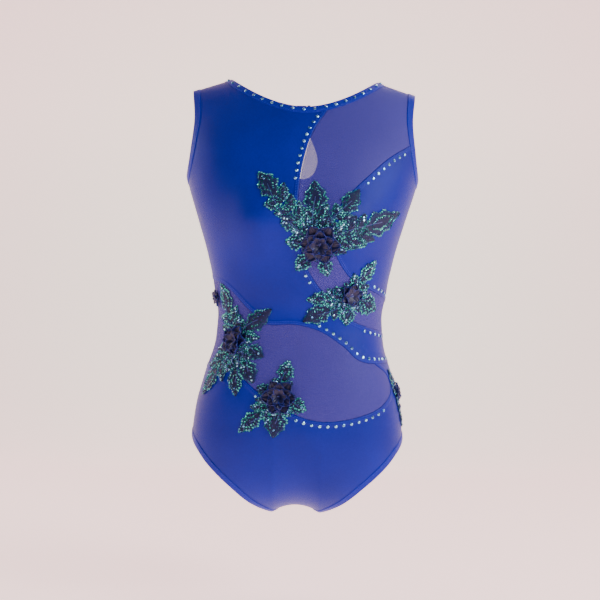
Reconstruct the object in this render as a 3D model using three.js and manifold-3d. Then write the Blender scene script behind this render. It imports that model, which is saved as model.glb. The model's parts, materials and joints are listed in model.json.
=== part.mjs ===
// A sleeveless gymnastics leotard, as worn: opaque panels, two net windows, bound
// edges with elastic inside, rhinestone rows, lace and organza flowers, nape closure.
//
// Frame: millimetres, +Z up, the chest faces -Y, +X is the wearer's left.
// The origin is midway between the two neck points of the shoulder line.
//
// Every cloth piece is cut from one faceted surface, the body cloth.  A pattern line
// is drawn on it as [degrees round the body from the centre front, height], and a
// piece is what lies on one side of its lines, between two depths below the skin.
import * as THREE from "three";
import { mergeVertices } from "three/addons/utils/BufferGeometryUtils.js";
import Manifold3d from "manifold-3d";

const kernel = await Manifold3d();
kernel.setup();

// ---------------------------------------------------------------- sizes
const garmentLength = 548;
const bustWidth = 306;
const bustDepth = 212;
const clothThickness = 1.2;
const bindingWidth = 10;
const hemWidth = 9;
const elasticWidth = 5;
const seamGap = 0.3;
const stoneWidth = 4;
const stoneHeight = 1.7;
const buttonDiameter = 10;
const loopCord = 1.6;
const flowerRadius = 27;

// How far the drawing below is stretched to reach those sizes.
const drawnLength = 548;
const drawnWidth = 306;
const drawnDepth = 212;
const down = garmentLength / drawnLength;
const across = bustWidth / drawnWidth;
const through = bustDepth / drawnDepth;

// Depths of each layer, measured outwards from the middle of the cloth.
const half = clothThickness / 2;
const slotHalf = half + seamGap;
const bindingSkin = 0.7;
const bindingHalf = slotHalf + bindingSkin;
const restGap = 0.35;
const tapeThickness = 0.8;
const tapeTop = -(half + seamGap);
const tapeBottom = tapeTop - tapeThickness;
const liningTop = tapeBottom - seamGap;
const liningThickness = 0.8;
const liningBottom = liningTop - liningThickness;
const labelThickness = 0.4;
const laceThickness = 0.9;
const laceBottom = half + restGap;
const laceTop = laceBottom + laceThickness;
const rim = 0.8;
const tapeHalfWidth = 3;
const panelEdge = rim + elasticWidth + 2 * seamGap;

// ---------------------------------------------------------------- the body cloth
// Height, half width, depth in front of and behind the side seam.
const stations = [
  [-560, 137, 94, 104],
  [-480, 137, 95, 106],
  [-420, 131, 96, 98],
  [-380, 121, 92, 86],
  [-340, 109, 87, 74],
  [-307, 106, 85, 70],
  [-281, 109, 88, 74],
  [-230, 119, 98, 84],
  [-185, 132, 106, 92],
  [-140, 146, 99, 94],
  [-100, 153, 88, 88],
  [-41, 156, 66, 70],
  [0, 158, 54, 50],
  [40, 158, 40, 36],
].map(([z, w, f, b]) => ({ z: z * down, width: w * across, front: f * through, back: b * through }));

const squareness = 2.3;
const shoulderRound = 110 * down;
const crotchRound = 108 * down;
const crotchHeight = -garmentLength;
const crotchStrip = 30;
const crotchDroop = 9;
const neckHalfWidth = 94 * across;
const shoulderSlope = 0.33;
const ridgeBlend = 20;
const ridgeTop = shoulderSlope * Math.hypot(neckHalfWidth, ridgeBlend);
const bust = { x: 60 * across, z: -188 * down, rise: 14, wide: 34 * across, tall: 42 * down };
const seat = { x: 62 * across, z: -462 * down, rise: 17, wide: 46 * across, tall: 52 * down };

function alongStations(z, name) {
  const last = stations.length - 2;
  let i = 0;
  while (i < last && z > stations[i + 1].z) i += 1;
  const slope = (k) => {
    const a = stations[Math.max(k - 1, 0)];
    const b = stations[Math.min(k + 1, stations.length - 1)];
    return (b[name] - a[name]) / (b.z - a.z);
  };
  const low = stations[i];
  const high = stations[i + 1];
  const step = high.z - low.z;
  const t = THREE.MathUtils.clamp((z - low.z) / step, 0, 1);
  const u = 1 - t;
  return (
    (1 + 2 * t) * u * u * low[name] +
    t * u * u * step * slope(i) +
    t * t * (3 - 2 * t) * high[name] -
    t * t * u * step * slope(i + 1)
  );
}

const shoulderLine = (x) => ridgeTop - shoulderSlope * Math.hypot(x, ridgeBlend);
const crotchLine = (x) => crotchHeight - crotchDroop * Math.min(1, (x / crotchStrip) ** 2);

function quarterRound(distance, reach) {
  const t = THREE.MathUtils.clamp(distance / reach, 0, 1);
  return Math.sqrt(1 - (1 - t) ** 2);
}

function fullness(spot, x, z) {
  const sideways = (Math.abs(x) - spot.x) / spot.wide;
  const upward = (z - spot.z) / spot.tall;
  return spot.rise * Math.exp(-(sideways ** 2) - upward ** 2);
}

function onCloth(turn, z) {
  const back = Math.abs(turn) > 90;
  const reach = Math.min(1, Math.abs(Math.sin(THREE.MathUtils.degToRad(turn))));
  const width = alongStations(z, "width");
  const x = width * Math.sin(THREE.MathUtils.degToRad(turn));
  const bow = (1 - reach ** squareness) ** (1 / squareness);
  const depth = alongStations(z, back ? "back" : "front") * bow;
  const extra = fullness(back ? seat : bust, x, z) * Math.min(1, 2 * bow);
  const top = quarterRound(shoulderLine(x) - z, shoulderRound);
  const bottom = quarterRound(z - crotchLine(x), crotchRound);
  return new THREE.Vector3(x, (back ? 1 : -1) * (depth + extra) * top * bottom, z);
}

// Same as onCloth, found from a sideways position instead of an angle.
function atPlace(x, z, back) {
  const share = THREE.MathUtils.clamp(x / alongStations(z, "width"), -1, 1);
  const turn = THREE.MathUtils.radToDeg(Math.asin(share));
  return onCloth(back ? 180 - turn : turn, z);
}

function outward(x, z, back) {
  const step = 0.5;
  const alongX = atPlace(x + step, z, back).sub(atPlace(x - step, z, back));
  const alongZ = atPlace(x, z + step, back).sub(atPlace(x, z - step, back));
  const normal = alongX.cross(alongZ).normalize();
  return back ? normal.negate() : normal;
}

// ---------------------------------------------------------------- pattern lines
function smoothLine(points, steps = 48) {
  const curve = new THREE.SplineCurve(points.map(([turn, z]) => new THREE.Vector2(turn, z * down)));
  return curve.getSpacedPoints(steps);
}

// A line drawn on the cloth: its flat drawing, and the same points on the body.
function patternLine(points, closing) {
  const flat = smoothLine(points);
  const body = flat.map((p) => onCloth(p.x, p.y));
  const outline = flat.concat(closing.map(([turn, z]) => new THREE.Vector2(turn, z * down)));
  return { flat, body, outline };
}

const neckRoundness = 1.8;
const neckPoint = shoulderLine(neckHalfWidth);
const neckHeight = (share, drop) => neckPoint - drop * (1 - Math.abs(share) ** neckRoundness);

function neckSide(drop, back) {
  const steps = 24;
  const points = [];
  for (let i = 0; i <= 2 * steps; i += 1) {
    const share = i / steps - 1;
    points.push(atPlace(neckHalfWidth * share, neckHeight(share, drop), back));
  }
  return points;
}

const frontNeckDrop = 41;
const backNeckDrop = 25;
const neckLine = { front: neckSide(frontNeckDrop, false), back: neckSide(backNeckDrop, true) };
const armTop = 66;
const armLine = patternLine(
  [[armTop, -17], [64, -58], [69, -98], [78, -120], [90, -127], [102, -120], [111, -98], [116, -58],
    [180 - armTop, -17]],
  [[180 - armTop, 60], [armTop, 60]],
);
const legLine = patternLine(
  [[12.4, -557], [25, -541], [39, -516], [54.5, -492], [70, -472], [90, -459], [109, -476], [124, -505],
    [141, -533], [156, -548], [167.6, -557]],
  [[180, -640], [0, -640]],
);
const keyholeLine = patternLine(
  [[179.4, 40], [179.4, -25], [178.9, -48], [175, -72], [172.6, -92], [174.6, -111], [180, -118],
    [185.4, -111], [187.4, -92], [185, -72], [181.1, -48], [180.6, -25], [180.6, 40]],
  [],
);
// Front seams; each keeps its named piece on the inner side of the closed outline.
const bodiceEdge = patternLine(
  [[16, -10], [11.5, -42], [4, -77], [-0.8, -128], [-2, -182], [2, -235], [16.5, -277], [41, -310],
    [90, -325]],
  [[100, -325], [100, -700], [-100, -700], [-100, 60]],
);
const sidePanelEdge = patternLine(
  [[74, -70], [62, -84], [45, -104], [31, -134], [20, -166], [16.5, -200], [25, -240], [43, -264],
    [90, -285]],
  [[100, -285], [100, -70]],
);
const bodiceHem = patternLine(
  [[-90, -258], [-58, -266], [-36, -297], [-22.5, -314], [-3, -314], [14, -322], [30, -340], [46, -360],
    [90, -361]],
  [[100, -361], [100, 80], [-100, 80], [-100, -258]],
);
const briefEdge = patternLine(
  [[-90, -366], [-54, -368], [-39, -376], [-25, -395], [-9, -416], [6, -430], [20, -432], [38, -425],
    [55, -413], [70, -393], [68, -375], [55, -361], [45, -340]],
  [[100, -340], [100, -700], [-100, -700], [-100, -366]],
);

function insideOutline(outline, turn, z) {
  let inside = false;
  for (let i = 0, j = outline.length - 1; i < outline.length; j = i, i += 1) {
    const a = outline[i];
    const b = outline[j];
    if (a.y > z !== b.y > z && turn < ((b.x - a.x) * (z - a.y)) / (b.y - a.y) + a.x) inside = !inside;
  }
  return inside;
}

const scratchLine = new THREE.Line3();
const scratchPoint = new THREE.Vector3();
function distanceTo(points, p) {
  let best = Infinity;
  for (let i = 1; i < points.length; i += 1) {
    scratchLine.set(points[i - 1], points[i]);
    scratchLine.closestPointToPoint(p, true, scratchPoint);
    best = Math.min(best, scratchPoint.distanceTo(p));
  }
  return best;
}

const mirrored = (points) => points.map((p) => new THREE.Vector3(-p.x, p.y, p.z));

// Signed distances from a cloth point to every pattern line.
const measures = {
  neck: ({ p, turn, z }) => {
    const side = Math.abs(turn) > 90 ? "back" : "front";
    const drop = side === "back" ? backNeckDrop : frontNeckDrop;
    const share = Math.min(1, Math.abs(p.x) / neckHalfWidth);
    const open = share < 1 && z > neckHeight(share, drop);
    const far = Math.min(distanceTo(neckLine.front, p), distanceTo(neckLine.back, p));
    return open ? -far : far;
  },
  leftArm: ({ p, turn, z }) => hole(armLine, armLine.body, turn, z, p),
  rightArm: ({ p, turn, z }) => hole(armLine, mirrored(armLine.body), -turn, z, p),
  leftLeg: ({ p, turn, z }) => hole(legLine, legLine.body, turn, z, p),
  rightLeg: ({ p, turn, z }) => hole(legLine, mirrored(legLine.body), -turn, z, p),
  keyhole: ({ p, turn, z }) => hole(keyholeLine, keyholeLine.body, (turn + 360) % 360, z, p),
  bodice: ({ p, turn, z }) => -hole(bodiceEdge, bodiceEdge.body, turn, z, p),
  sidePanel: ({ p, turn, z }) => -hole(sidePanelEdge, sidePanelEdge.body, turn, z, p),
  aboveHem: ({ p, turn, z }) => -hole(bodiceHem, bodiceHem.body, turn, z, p),
  brief: ({ p, turn, z }) => -hole(briefEdge, briefEdge.body, turn, z, p),
  x: ({ p }) => p.x,
  y: ({ p }) => p.y,
  z: ({ p }) => p.z,
};

function hole(line, body, turn, z, p) {
  const far = distanceTo(body, p);
  return insideOutline(line.outline, turn, z) ? -far : far;
}

// ---------------------------------------------------------------- faceting the cloth
const edges = ["neck", "leftArm", "rightArm", "leftLeg", "rightLeg", "keyhole"];
const quarterTurns = [0, 5.5, 13, 22, 33, 45, 57, 68, 79, 90];
const shoulderRows = 4;
const crotchRows = 3;
const middleRows = 11;

function rowShares() {
  const top = shoulderRound / garmentLength;
  const bottom = crotchRound / garmentLength;
  const shares = [];
  const rounding = (i, rows) => 1 - Math.cos((i / rows) * (Math.PI / 2));
  for (let i = 0; i < crotchRows; i += 1) shares.push(bottom * rounding(i, crotchRows));
  for (let i = 0; i < middleRows; i += 1) shares.push(bottom + ((1 - top - bottom) * i) / middleRows);
  for (let i = shoulderRows; i >= 0; i -= 1) shares.push(1 - top * rounding(i, shoulderRows));
  return shares;
}

// Turns all the way round, the left side first; the same steps in front and behind.
function allTurns() {
  const inner = quarterTurns.slice(1, -1);
  const leftBack = inner.map((turn) => 180 - turn).reverse();
  const rightFront = inner.map((turn) => -turn).reverse();
  const rightBack = leftBack.map((turn) => -turn).reverse();
  return [0, ...inner, 90, ...leftBack, 180, ...rightBack, -90, ...rightFront];
}

function heightAt(turn, share) {
  let z = crotchHeight + share * garmentLength;
  for (let i = 0; i < 40; i += 1) {
    const x = alongStations(z, "width") * Math.sin(THREE.MathUtils.degToRad(turn));
    z = crotchLine(x) + share * (shoulderLine(x) - crotchLine(x));
  }
  return z;
}

// Corners carry a place, an outward direction and a distance to every line.
function makeCloth() {
  const turns = allTurns();
  const shares = rowShares();
  const corners = new Map();
  const cornerAt = (i, j) => {
    const drawn = turns[(i + turns.length) % turns.length];
    const share = shares[j];
    const atEnd = j === 0 || j === shares.length - 1;
    const turn = atEnd && Math.abs(drawn) > 90 ? Math.sign(drawn) * 180 - drawn : drawn;
    const z = heightAt(turn, share);
    const name = `${turn} ${j}`;
    if (!corners.has(name)) {
      corners.set(name, { p: onCloth(turn, z), n: new THREE.Vector3(), turn, z, d: {} });
    }
    return corners.get(name);
  };
  const triangles = [];
  for (let i = 0; i < turns.length; i += 1) {
    for (let j = 0; j + 1 < shares.length; j += 1) {
      const [a, b, c, d] = [cornerAt(i, j), cornerAt(i + 1, j), cornerAt(i + 1, j + 1), cornerAt(i, j + 1)];
      triangles.push([a, b, c], [a, c, d]);
    }
  }
  for (const [a, b, c] of triangles) {
    const face = b.p.clone().sub(a.p).cross(c.p.clone().sub(a.p));
    for (const corner of [a, b, c]) corner.n.add(face);
  }
  for (const corner of corners.values()) {
    corner.n.normalize();
    for (const name of Object.keys(measures)) corner.d[name] = measures[name](corner);
    for (const name of edges) corner.d[name] = awayFromLevels(corner.d[name]);
  }
  return triangles;
}

function between(a, b, t) {
  const d = {};
  for (const name of Object.keys(a.d)) d[name] = a.d[name] + (b.d[name] - a.d[name]) * t;
  return { p: a.p.clone().lerp(b.p, t), n: a.n.clone().lerp(b.n, t), d };
}

const tooClose = 0.02;
const laceMargin = bindingWidth + 1;
const elasticEdge = rim + seamGap;
const edgeLevels = [0, rim, elasticEdge, elasticEdge + elasticWidth, panelEdge - seamGap, panelEdge,
  hemWidth, bindingWidth, bindingWidth + seamGap, laceMargin];

// Moves a distance off every edge level, so that no cut passes through a corner.
function awayFromLevels(distance) {
  const level = edgeLevels.find((v) => Math.abs(distance - v) < 1.5 * tooClose);
  return level === undefined ? distance : level + 1.5 * tooClose;
}

const cornerKey = (c) => `${c.p.x.toFixed(3)},${c.p.y.toFixed(3)},${c.p.z.toFixed(3)}`;

// Keeps what lies above (side 1) or below (side -1) a level of one measure.
function cut(triangles, name, level, side = 1) {
  const value = (corner) => {
    const v = corner.d[name] - level;
    return side * (Math.abs(v) < tooClose ? tooClose : v);
  };
  const crossing = (a, b) => {
    const ordered = cornerKey(a) < cornerKey(b) ? [a, b] : [b, a];
    const [va, vb] = ordered.map(value);
    return between(ordered[0], ordered[1], va / (va - vb));
  };
  const kept = [];
  for (const triangle of triangles) {
    const outline = [];
    for (let i = 0; i < 3; i += 1) {
      const a = triangle[i];
      const b = triangle[(i + 1) % 3];
      if (value(a) > 0) outline.push(a);
      if (value(a) > 0 !== value(b) > 0) outline.push(crossing(a, b));
    }
    for (let i = 2; i < outline.length; i += 1) kept.push([outline[0], outline[i - 1], outline[i]]);
  }
  return kept;
}

const band = (triangles, name, low, high) => cut(cut(triangles, name, low, 1), name, high, -1);

// ---------------------------------------------------------------- closed bodies
const atDepth = (corner, depth) => corner.p.clone().addScaledVector(corner.n, depth);

function subtractLayers(own, other) {
  let left = own.slice();
  for (const [low, high] of other) {
    const around = left.flatMap(([a, b]) => [[a, Math.min(b, low)], [Math.max(a, high), b]]);
    left = around.filter(([a, b]) => b - a > 1e-6);
  }
  return left;
}

// Zones are cloth pieces with the layers they fill; touching zones become one body.
function layeredBody(zones) {
  const faces = [];
  const sides = new Map();
  const levels = new Map();
  for (const { triangles, layers } of zones) {
    for (const triangle of triangles) {
      const keys = triangle.map(cornerKey);
      if (new Set(keys).size < 3) continue;
      for (const [low, high] of layers) {
        faces.push(triangle.map((c) => atDepth(c, high)));
        faces.push(triangle.map((c) => atDepth(c, low)).reverse());
      }
      for (let i = 0; i < 3; i += 1) {
        const j = (i + 1) % 3;
        sides.set(`${keys[i]}|${keys[j]}`, { a: triangle[i], b: triangle[j], layers });
        if (!levels.has(keys[i])) levels.set(keys[i], new Set());
        layers.flat().forEach((level) => levels.get(keys[i]).add(level));
      }
    }
  }
  for (const { a, b, layers } of sides.values()) {
    const facing = sides.get(`${cornerKey(b)}|${cornerKey(a)}`);
    for (const [low, high] of subtractLayers(layers, facing ? facing.layers : [])) {
      const within = (c) => [...levels.get(cornerKey(c))].filter((v) => v >= low && v <= high);
      const ordered = (c) => within(c).sort((p, q) => p - q);
      faces.push(...wall(a, b, ordered(a), ordered(b)));
    }
  }
  return geometryOf(faces);
}

function wall(a, b, levelsA, levelsB) {
  const faces = [];
  let i = 0;
  let j = 0;
  while (i + 1 < levelsA.length || j + 1 < levelsB.length) {
    const stepA = i + 1 < levelsA.length && (j + 1 >= levelsB.length || levelsA[i + 1] <= levelsB[j + 1]);
    const foot = [atDepth(a, levelsA[i]), atDepth(b, levelsB[j])];
    faces.push([stepA ? atDepth(a, levelsA[i + 1]) : atDepth(b, levelsB[j + 1]), ...foot]);
    if (stepA) i += 1;
    else j += 1;
  }
  return faces;
}

function geometryOf(faces) {
  const places = [];
  for (const face of faces) for (const p of face) places.push(p.x, p.y, p.z);
  const geometry = new THREE.BufferGeometry();
  geometry.setAttribute("position", new THREE.Float32BufferAttribute(places, 3));
  return geometry;
}

// ---------------------------------------------------------------- materials
const colours = {
  cloth: [0x2f47b8, 0.42, 0],
  net: [0x6a70c4, 0.7, 0],
  binding: [0x3550c8, 0.4, 0],
  elastic: [0xe9e6df, 0.8, 0],
  tape: [0x26368c, 0.75, 0],
  stone: [0x9fd4d8, 0.15, 0.1],
  lace: [0x1f3a86, 0.6, 0],
  organza: [0x141b52, 0.55, 0],
  pearl: [0x2c3c9c, 0.25, 0],
  label: [0xf2f0ea, 0.85, 0],
};

const model = new THREE.Group();
model.name = "leotard";

function add(name, geometry, finish) {
  const [color, roughness, metalness] = colours[finish];
  const material = new THREE.MeshStandardMaterial({ color, roughness, metalness });
  const mesh = new THREE.Mesh(geometry, material);
  mesh.name = name;
  model.add(mesh);
}

// ---------------------------------------------------------------- panels
const cloth = makeCloth();
const clearOf = (triangles, names, level) =>
  names.reduce((left, name) => cut(left, name, level), triangles);
const inEdges = clearOf(cloth, edges, panelEdge);
const inBindings = clearOf(cloth, edges, bindingWidth + seamGap);
const gap = seamGap / 2;
const front = (triangles) => cut(triangles, "y", -gap, -1);
const back = (triangles) => cut(triangles, "y", gap, 1);
const panelLayers = [[-half, half]];

function addPanels() {
  const face = front(inEdges);
  const above = cut(face, "aboveHem", gap);
  const below = cut(face, "aboveHem", -gap, -1);
  const rear = back(inEdges);
  const panels = {
    front_bodice_panel: [cut(above, "bodice", gap), "cloth"],
    shoulder_net_panel: [cut(cut(above, "bodice", -gap, -1), "sidePanel", -gap, -1), "net"],
    side_bodice_panel: [cut(above, "sidePanel", gap), "cloth"],
    midriff_net_panel: [cut(below, "brief", -gap, -1), "net"],
    front_brief_panel: [cut(below, "brief", gap), "cloth"],
    back_left_panel: [cut(rear, "x", gap), "cloth"],
    back_right_panel: [cut(rear, "x", -gap, -1), "cloth"],
  };
  for (const [name, [triangles, finish]] of Object.entries(panels)) {
    add(name, layeredBody([{ triangles, layers: panelLayers }]), finish);
  }
}

// A folded strip along a cloth edge, with a slot for the elastic and the panel.
function foldedEdge(name, measure, width, within) {
  const strip = band(within, measure, 0, width);
  const fold = cut(strip, measure, rim, -1);
  const flanges = cut(strip, measure, rim, 1);
  const skins = [[-bindingHalf, -slotHalf], [slotHalf, bindingHalf]];
  const body = layeredBody([
    { triangles: fold, layers: [[-bindingHalf, bindingHalf]] },
    { triangles: flanges, layers: skins },
  ]);
  add(name, body, "binding");
}

function insideElastic(name, measure, within) {
  const triangles = band(within, measure, elasticEdge, elasticEdge + elasticWidth);
  add(name, layeredBody([{ triangles, layers: panelLayers }]), "elastic");
}

function addEdges() {
  const neckCloth = cut(cloth, "keyhole", 0);
  const endGap = 1.2;
  foldedEdge("neck_binding", "neck", bindingWidth, neckCloth);
  insideElastic("neck_elastic", "neck", cut(cloth, "keyhole", endGap));
  const belowNeck = cut(cloth, "neck", bindingWidth + seamGap);
  const triangles = band(belowNeck, "keyhole", 0, panelEdge - seamGap);
  add("keyhole_binding", layeredBody([{ triangles, layers: [[-bindingHalf, bindingHalf]] }]), "binding");
  for (const side of ["left", "right"]) {
    foldedEdge(`${side}_armhole_binding`, `${side}Arm`, bindingWidth, cloth);
    insideElastic(`${side}_armhole_elastic`, `${side}Arm`, cloth);
    foldedEdge(`${side}_leg_hem`, `${side}Leg`, hemWidth, cloth);
    insideElastic(`${side}_leg_elastic`, `${side}Leg`, cloth);
  }
}

// ---------------------------------------------------------------- seams inside
const tapeLayers = [[tapeBottom, tapeTop]];
const clearOfSides = tapeHalfWidth + seamGap;
const shoulderSeamEnd = -60 * down;
const sideSeamTop = -90 * down;
const sideSeamEnd = -500 * down;
const gussetTop = -488 * down;
const labelHalfWidth = 11;
const labelTop = -388 * down;
const labelEnd = -420 * down;

function seamTape(name, triangles, measure) {
  const strip = band(triangles, measure, -tapeHalfWidth, tapeHalfWidth);
  add(name, layeredBody([{ triangles: strip, layers: tapeLayers }]), "tape");
}

function addSeams() {
  const shoulders = cut(inBindings, "z", shoulderSeamEnd);
  const sides = band(inBindings, "z", sideSeamEnd, sideSeamTop);
  seamTape("left_shoulder_seam", cut(shoulders, "x", 0), "y");
  seamTape("right_shoulder_seam", cut(shoulders, "x", 0, -1), "y");
  seamTape("left_side_seam", cut(sides, "x", 0), "y");
  seamTape("right_side_seam", cut(sides, "x", 0, -1), "y");
  seamTape("crotch_seam", cut(inBindings, "z", sideSeamEnd, -1), "y");
  seamTape("centre_back_seam", cut(inBindings, "y", clearOfSides), "x");
}

function addLining() {
  const triangles = cut(inBindings, "z", gussetTop, -1);
  add("crotch_lining", layeredBody([{ triangles, layers: [[liningBottom, liningTop]] }]), "cloth");
}

// The label lies over the left side seam.
function addLabel() {
  const leftSide = band(cut(cloth, "x", 0), "y", -labelHalfWidth, labelHalfWidth);
  const triangles = band(leftSide, "z", labelEnd, labelTop);
  const layers = [[liningTop - labelThickness, liningTop]];
  add("care_label", layeredBody([{ triangles, layers }]), "label");
}

// ---------------------------------------------------------------- rhinestones
// Places along a line on the cloth, shifted sideways across it, with the way ahead.
function lineFrames(points, shift) {
  return points.map((p, i) => {
    const before = points[Math.max(i - 1, 0)];
    const after = points[Math.min(i + 1, points.length - 1)];
    const along = after.clone().sub(before).normalize();
    const side = outward(p.x, p.z, false).cross(along).normalize();
    return { place: snapToCloth(p.clone().addScaledVector(side, shift)).place, along };
  });
}

// The nearest place on the faceted cloth, with the depth direction it has there.
function snapToCloth(p) {
  let best = null;
  const near = new THREE.Vector3();
  const weights = new THREE.Vector3();
  for (const [a, b, c] of cloth) {
    const facet = new THREE.Triangle(a.p, b.p, c.p);
    facet.closestPointToPoint(p, near);
    const far = near.distanceTo(p);
    if (best && far >= best.far) continue;
    if (!facet.getBarycoord(near, weights)) continue;
    const normal = new THREE.Vector3().addScaledVector(a.n, weights.x).addScaledVector(b.n, weights.y);
    best = { far, place: near.clone(), normal: normal.addScaledVector(c.n, weights.z) };
  }
  return best;
}

function frameAt(frames, share) {
  const at = THREE.MathUtils.clamp(share, 0, 1) * (frames.length - 1);
  const i = Math.min(Math.floor(at), frames.length - 2);
  const t = at - i;
  const mix = (name) => frames[i][name].clone().lerp(frames[i + 1][name], t);
  return { place: mix("place"), along: mix("along").normalize() };
}

// One body: stones joined by a narrow strip of glue film.
function stoneRow(name, frames, from, to, pitch, base) {
  let length = 0;
  for (let i = 1; i < frames.length; i += 1) length += frames[i].place.distanceTo(frames[i - 1].place);
  const count = Math.max(2, Math.round(((to - from) * length) / pitch));
  const sections = [];
  const reach = stoneWidth / 2 / length;
  for (let i = 0; i < count; i += 1) {
    const middle = from + ((to - from) * (i + 0.5)) / count;
    for (const [step, wide, tall] of [[-1, 0.2, 0.3], [-0.45, 1, 1], [0.45, 1, 1], [1, 0.2, 0.3]]) {
      sections.push({ share: middle + step * reach, wide: wide * stoneWidth, tall: tall * stoneHeight });
    }
  }
  const rings = sections.map(({ share, wide, tall }) => {
    const { place, along } = frameAt(frames, share);
    const snapped = snapToCloth(place);
    const side = snapped.normal.clone().cross(along).normalize();
    const foot = snapped.place.addScaledVector(snapped.normal, base);
    return [
      foot.clone().addScaledVector(side, -wide / 2),
      foot.clone().addScaledVector(side, wide / 2),
      foot.clone().addScaledVector(snapped.normal, tall),
    ];
  });
  add(name, tubeOf(rings), "stone");
}

// Skins a run of rings that all have the same number of points, ends closed.
function tubeOf(rings) {
  const faces = [];
  const size = rings[0].length;
  for (let i = 0; i + 1 < rings.length; i += 1) {
    for (let j = 0; j < size; j += 1) {
      const k = (j + 1) % size;
      const [a, b, c, d] = [rings[i][j], rings[i][k], rings[i + 1][k], rings[i + 1][j]];
      faces.push([a, b, c], [a, c, d]);
    }
  }
  const last = rings.at(-1);
  for (let j = 1; j + 1 < size; j += 1) {
    faces.push([rings[0][0], rings[0][j + 1], rings[0][j]]);
    faces.push([last[0], last[j], last[j + 1]]);
  }
  return geometryOf(faces);
}

function addStones() {
  const onPanel = half + restGap + 0.1;
  const offset = 6;
  const pitch = 10;
  const neckPitch = 14;
  const rows = [
    ["bodice_stones_upper", bodiceEdge, -offset, 0.12, 0.36],
    ["bodice_stones_lower", bodiceEdge, -offset, 0.655, 0.7],
    ["band_stones_upper", bodiceEdge, -offset, 0.88, 0.97],
    ["side_panel_stones_upper", sidePanelEdge, offset, 0.1, 0.3],
    ["side_panel_stones_lower", sidePanelEdge, offset, 0.85, 0.96],
    ["waist_stones", bodiceHem, offset, 0.56, 0.97],
    ["brief_stones_right", briefEdge, -offset, 0.29, 0.35],
    ["brief_stones_left", briefEdge, -offset, 0.43, 0.68],
  ];
  for (const [name, line, shift, from, to] of rows) {
    stoneRow(name, lineFrames(line.body, shift), from, to, pitch, onPanel);
  }
  const neckFrames = lineFrames(neckLine.front.slice(3, -3), -bindingWidth / 2);
  stoneRow("neck_stones", neckFrames, 0, 1, neckPitch, bindingHalf + restGap);
}

// ---------------------------------------------------------------- lace
// A spray: where its flower sits, then one sprig per row as
// [direction in degrees, reach to the leaf tip, leaf length, leaf width].
const sprays = {
  chest_lace: {
    turn: 10.7, z: -214, disc: 15,
    sprigs: [[138, 112, 34, 22], [148, 58, 24, 20], [101, 72, 34, 26], [57, 76, 28, 20], [19, 98, 44, 28],
      [180, 42, 22, 18], [233, 44, 24, 18], [287, 42, 22, 16]],
  },
  waist_lace: {
    turn: 34.5, z: -276, disc: 12,
    sprigs: [[55, 54, 32, 18], [336, 46, 30, 24], [265, 38, 22, 20], [190, 54, 28, 16], [214, 66, 36, 22]],
  },
  right_hip_lace: {
    turn: -47, z: -336, disc: 13,
    sprigs: [[112, 74, 38, 20], [46, 62, 42, 20], [340, 44, 22, 18], [306, 60, 30, 22], [283, 70, 34, 18],
      [239, 84, 42, 20]],
  },
  lower_lace: {
    turn: -10.4, z: -403, disc: 13,
    sprigs: [[79, 46, 26, 18], [337, 36, 20, 18], [224, 66, 36, 18], [265, 50, 34, 26], [160, 30, 16, 14]],
  },
  left_hip_lace: {
    turn: 80, z: -398, disc: 9,
    sprigs: [[112, 32, 24, 16], [275, 46, 22, 12]],
  },
};
const stemHalfWidth = 1.8;

// The outline of one sprig: a stem from the centre, then a pointed leaf.
function sprigOutline([direction, reach, length, width]) {
  const bends = 4;
  const side = [[0, stemHalfWidth]];
  for (let i = 0; i < bends; i += 1) {
    const share = i / bends;
    const leaf = (width / 2) * Math.sin(Math.PI * share ** 0.8);
    side.push([reach - length * (1 - share), Math.max(stemHalfWidth, leaf)]);
  }
  const outline = side.concat([[reach, 0]], side.map(([r, off]) => [r, -off]).reverse());
  const angle = THREE.MathUtils.degToRad(direction);
  const centre = new THREE.Vector2();
  return outline.map(([r, off]) => new THREE.Vector2(r, off).rotateAround(centre, angle)).reverse();
}

function discOutline(radius, sides = 8) {
  const angles = Array.from({ length: sides }, (_, i) => (i / sides) * 2 * Math.PI);
  return angles.map((angle) => new THREE.Vector2(radius * Math.cos(angle), radius * Math.sin(angle)));
}

function solidFrom(geometry) {
  const loose = geometry.index ? geometry.toNonIndexed() : geometry;
  const bare = new THREE.BufferGeometry().setAttribute("position", loose.getAttribute("position"));
  const merged = mergeVertices(bare, 1e-3);
  return new kernel.Manifold(
    new kernel.Mesh({
      numProp: 3,
      vertProperties: merged.getAttribute("position").array,
      triVerts: new Uint32Array(merged.index.array),
    }),
  );
}

function geometryFrom(solid) {
  const { vertProperties, triVerts } = solid.getMesh();
  const geometry = new THREE.BufferGeometry();
  geometry.setAttribute("position", new THREE.BufferAttribute(vertProperties, 3));
  geometry.setIndex(new THREE.BufferAttribute(triVerts, 1));
  return geometry;
}

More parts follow.
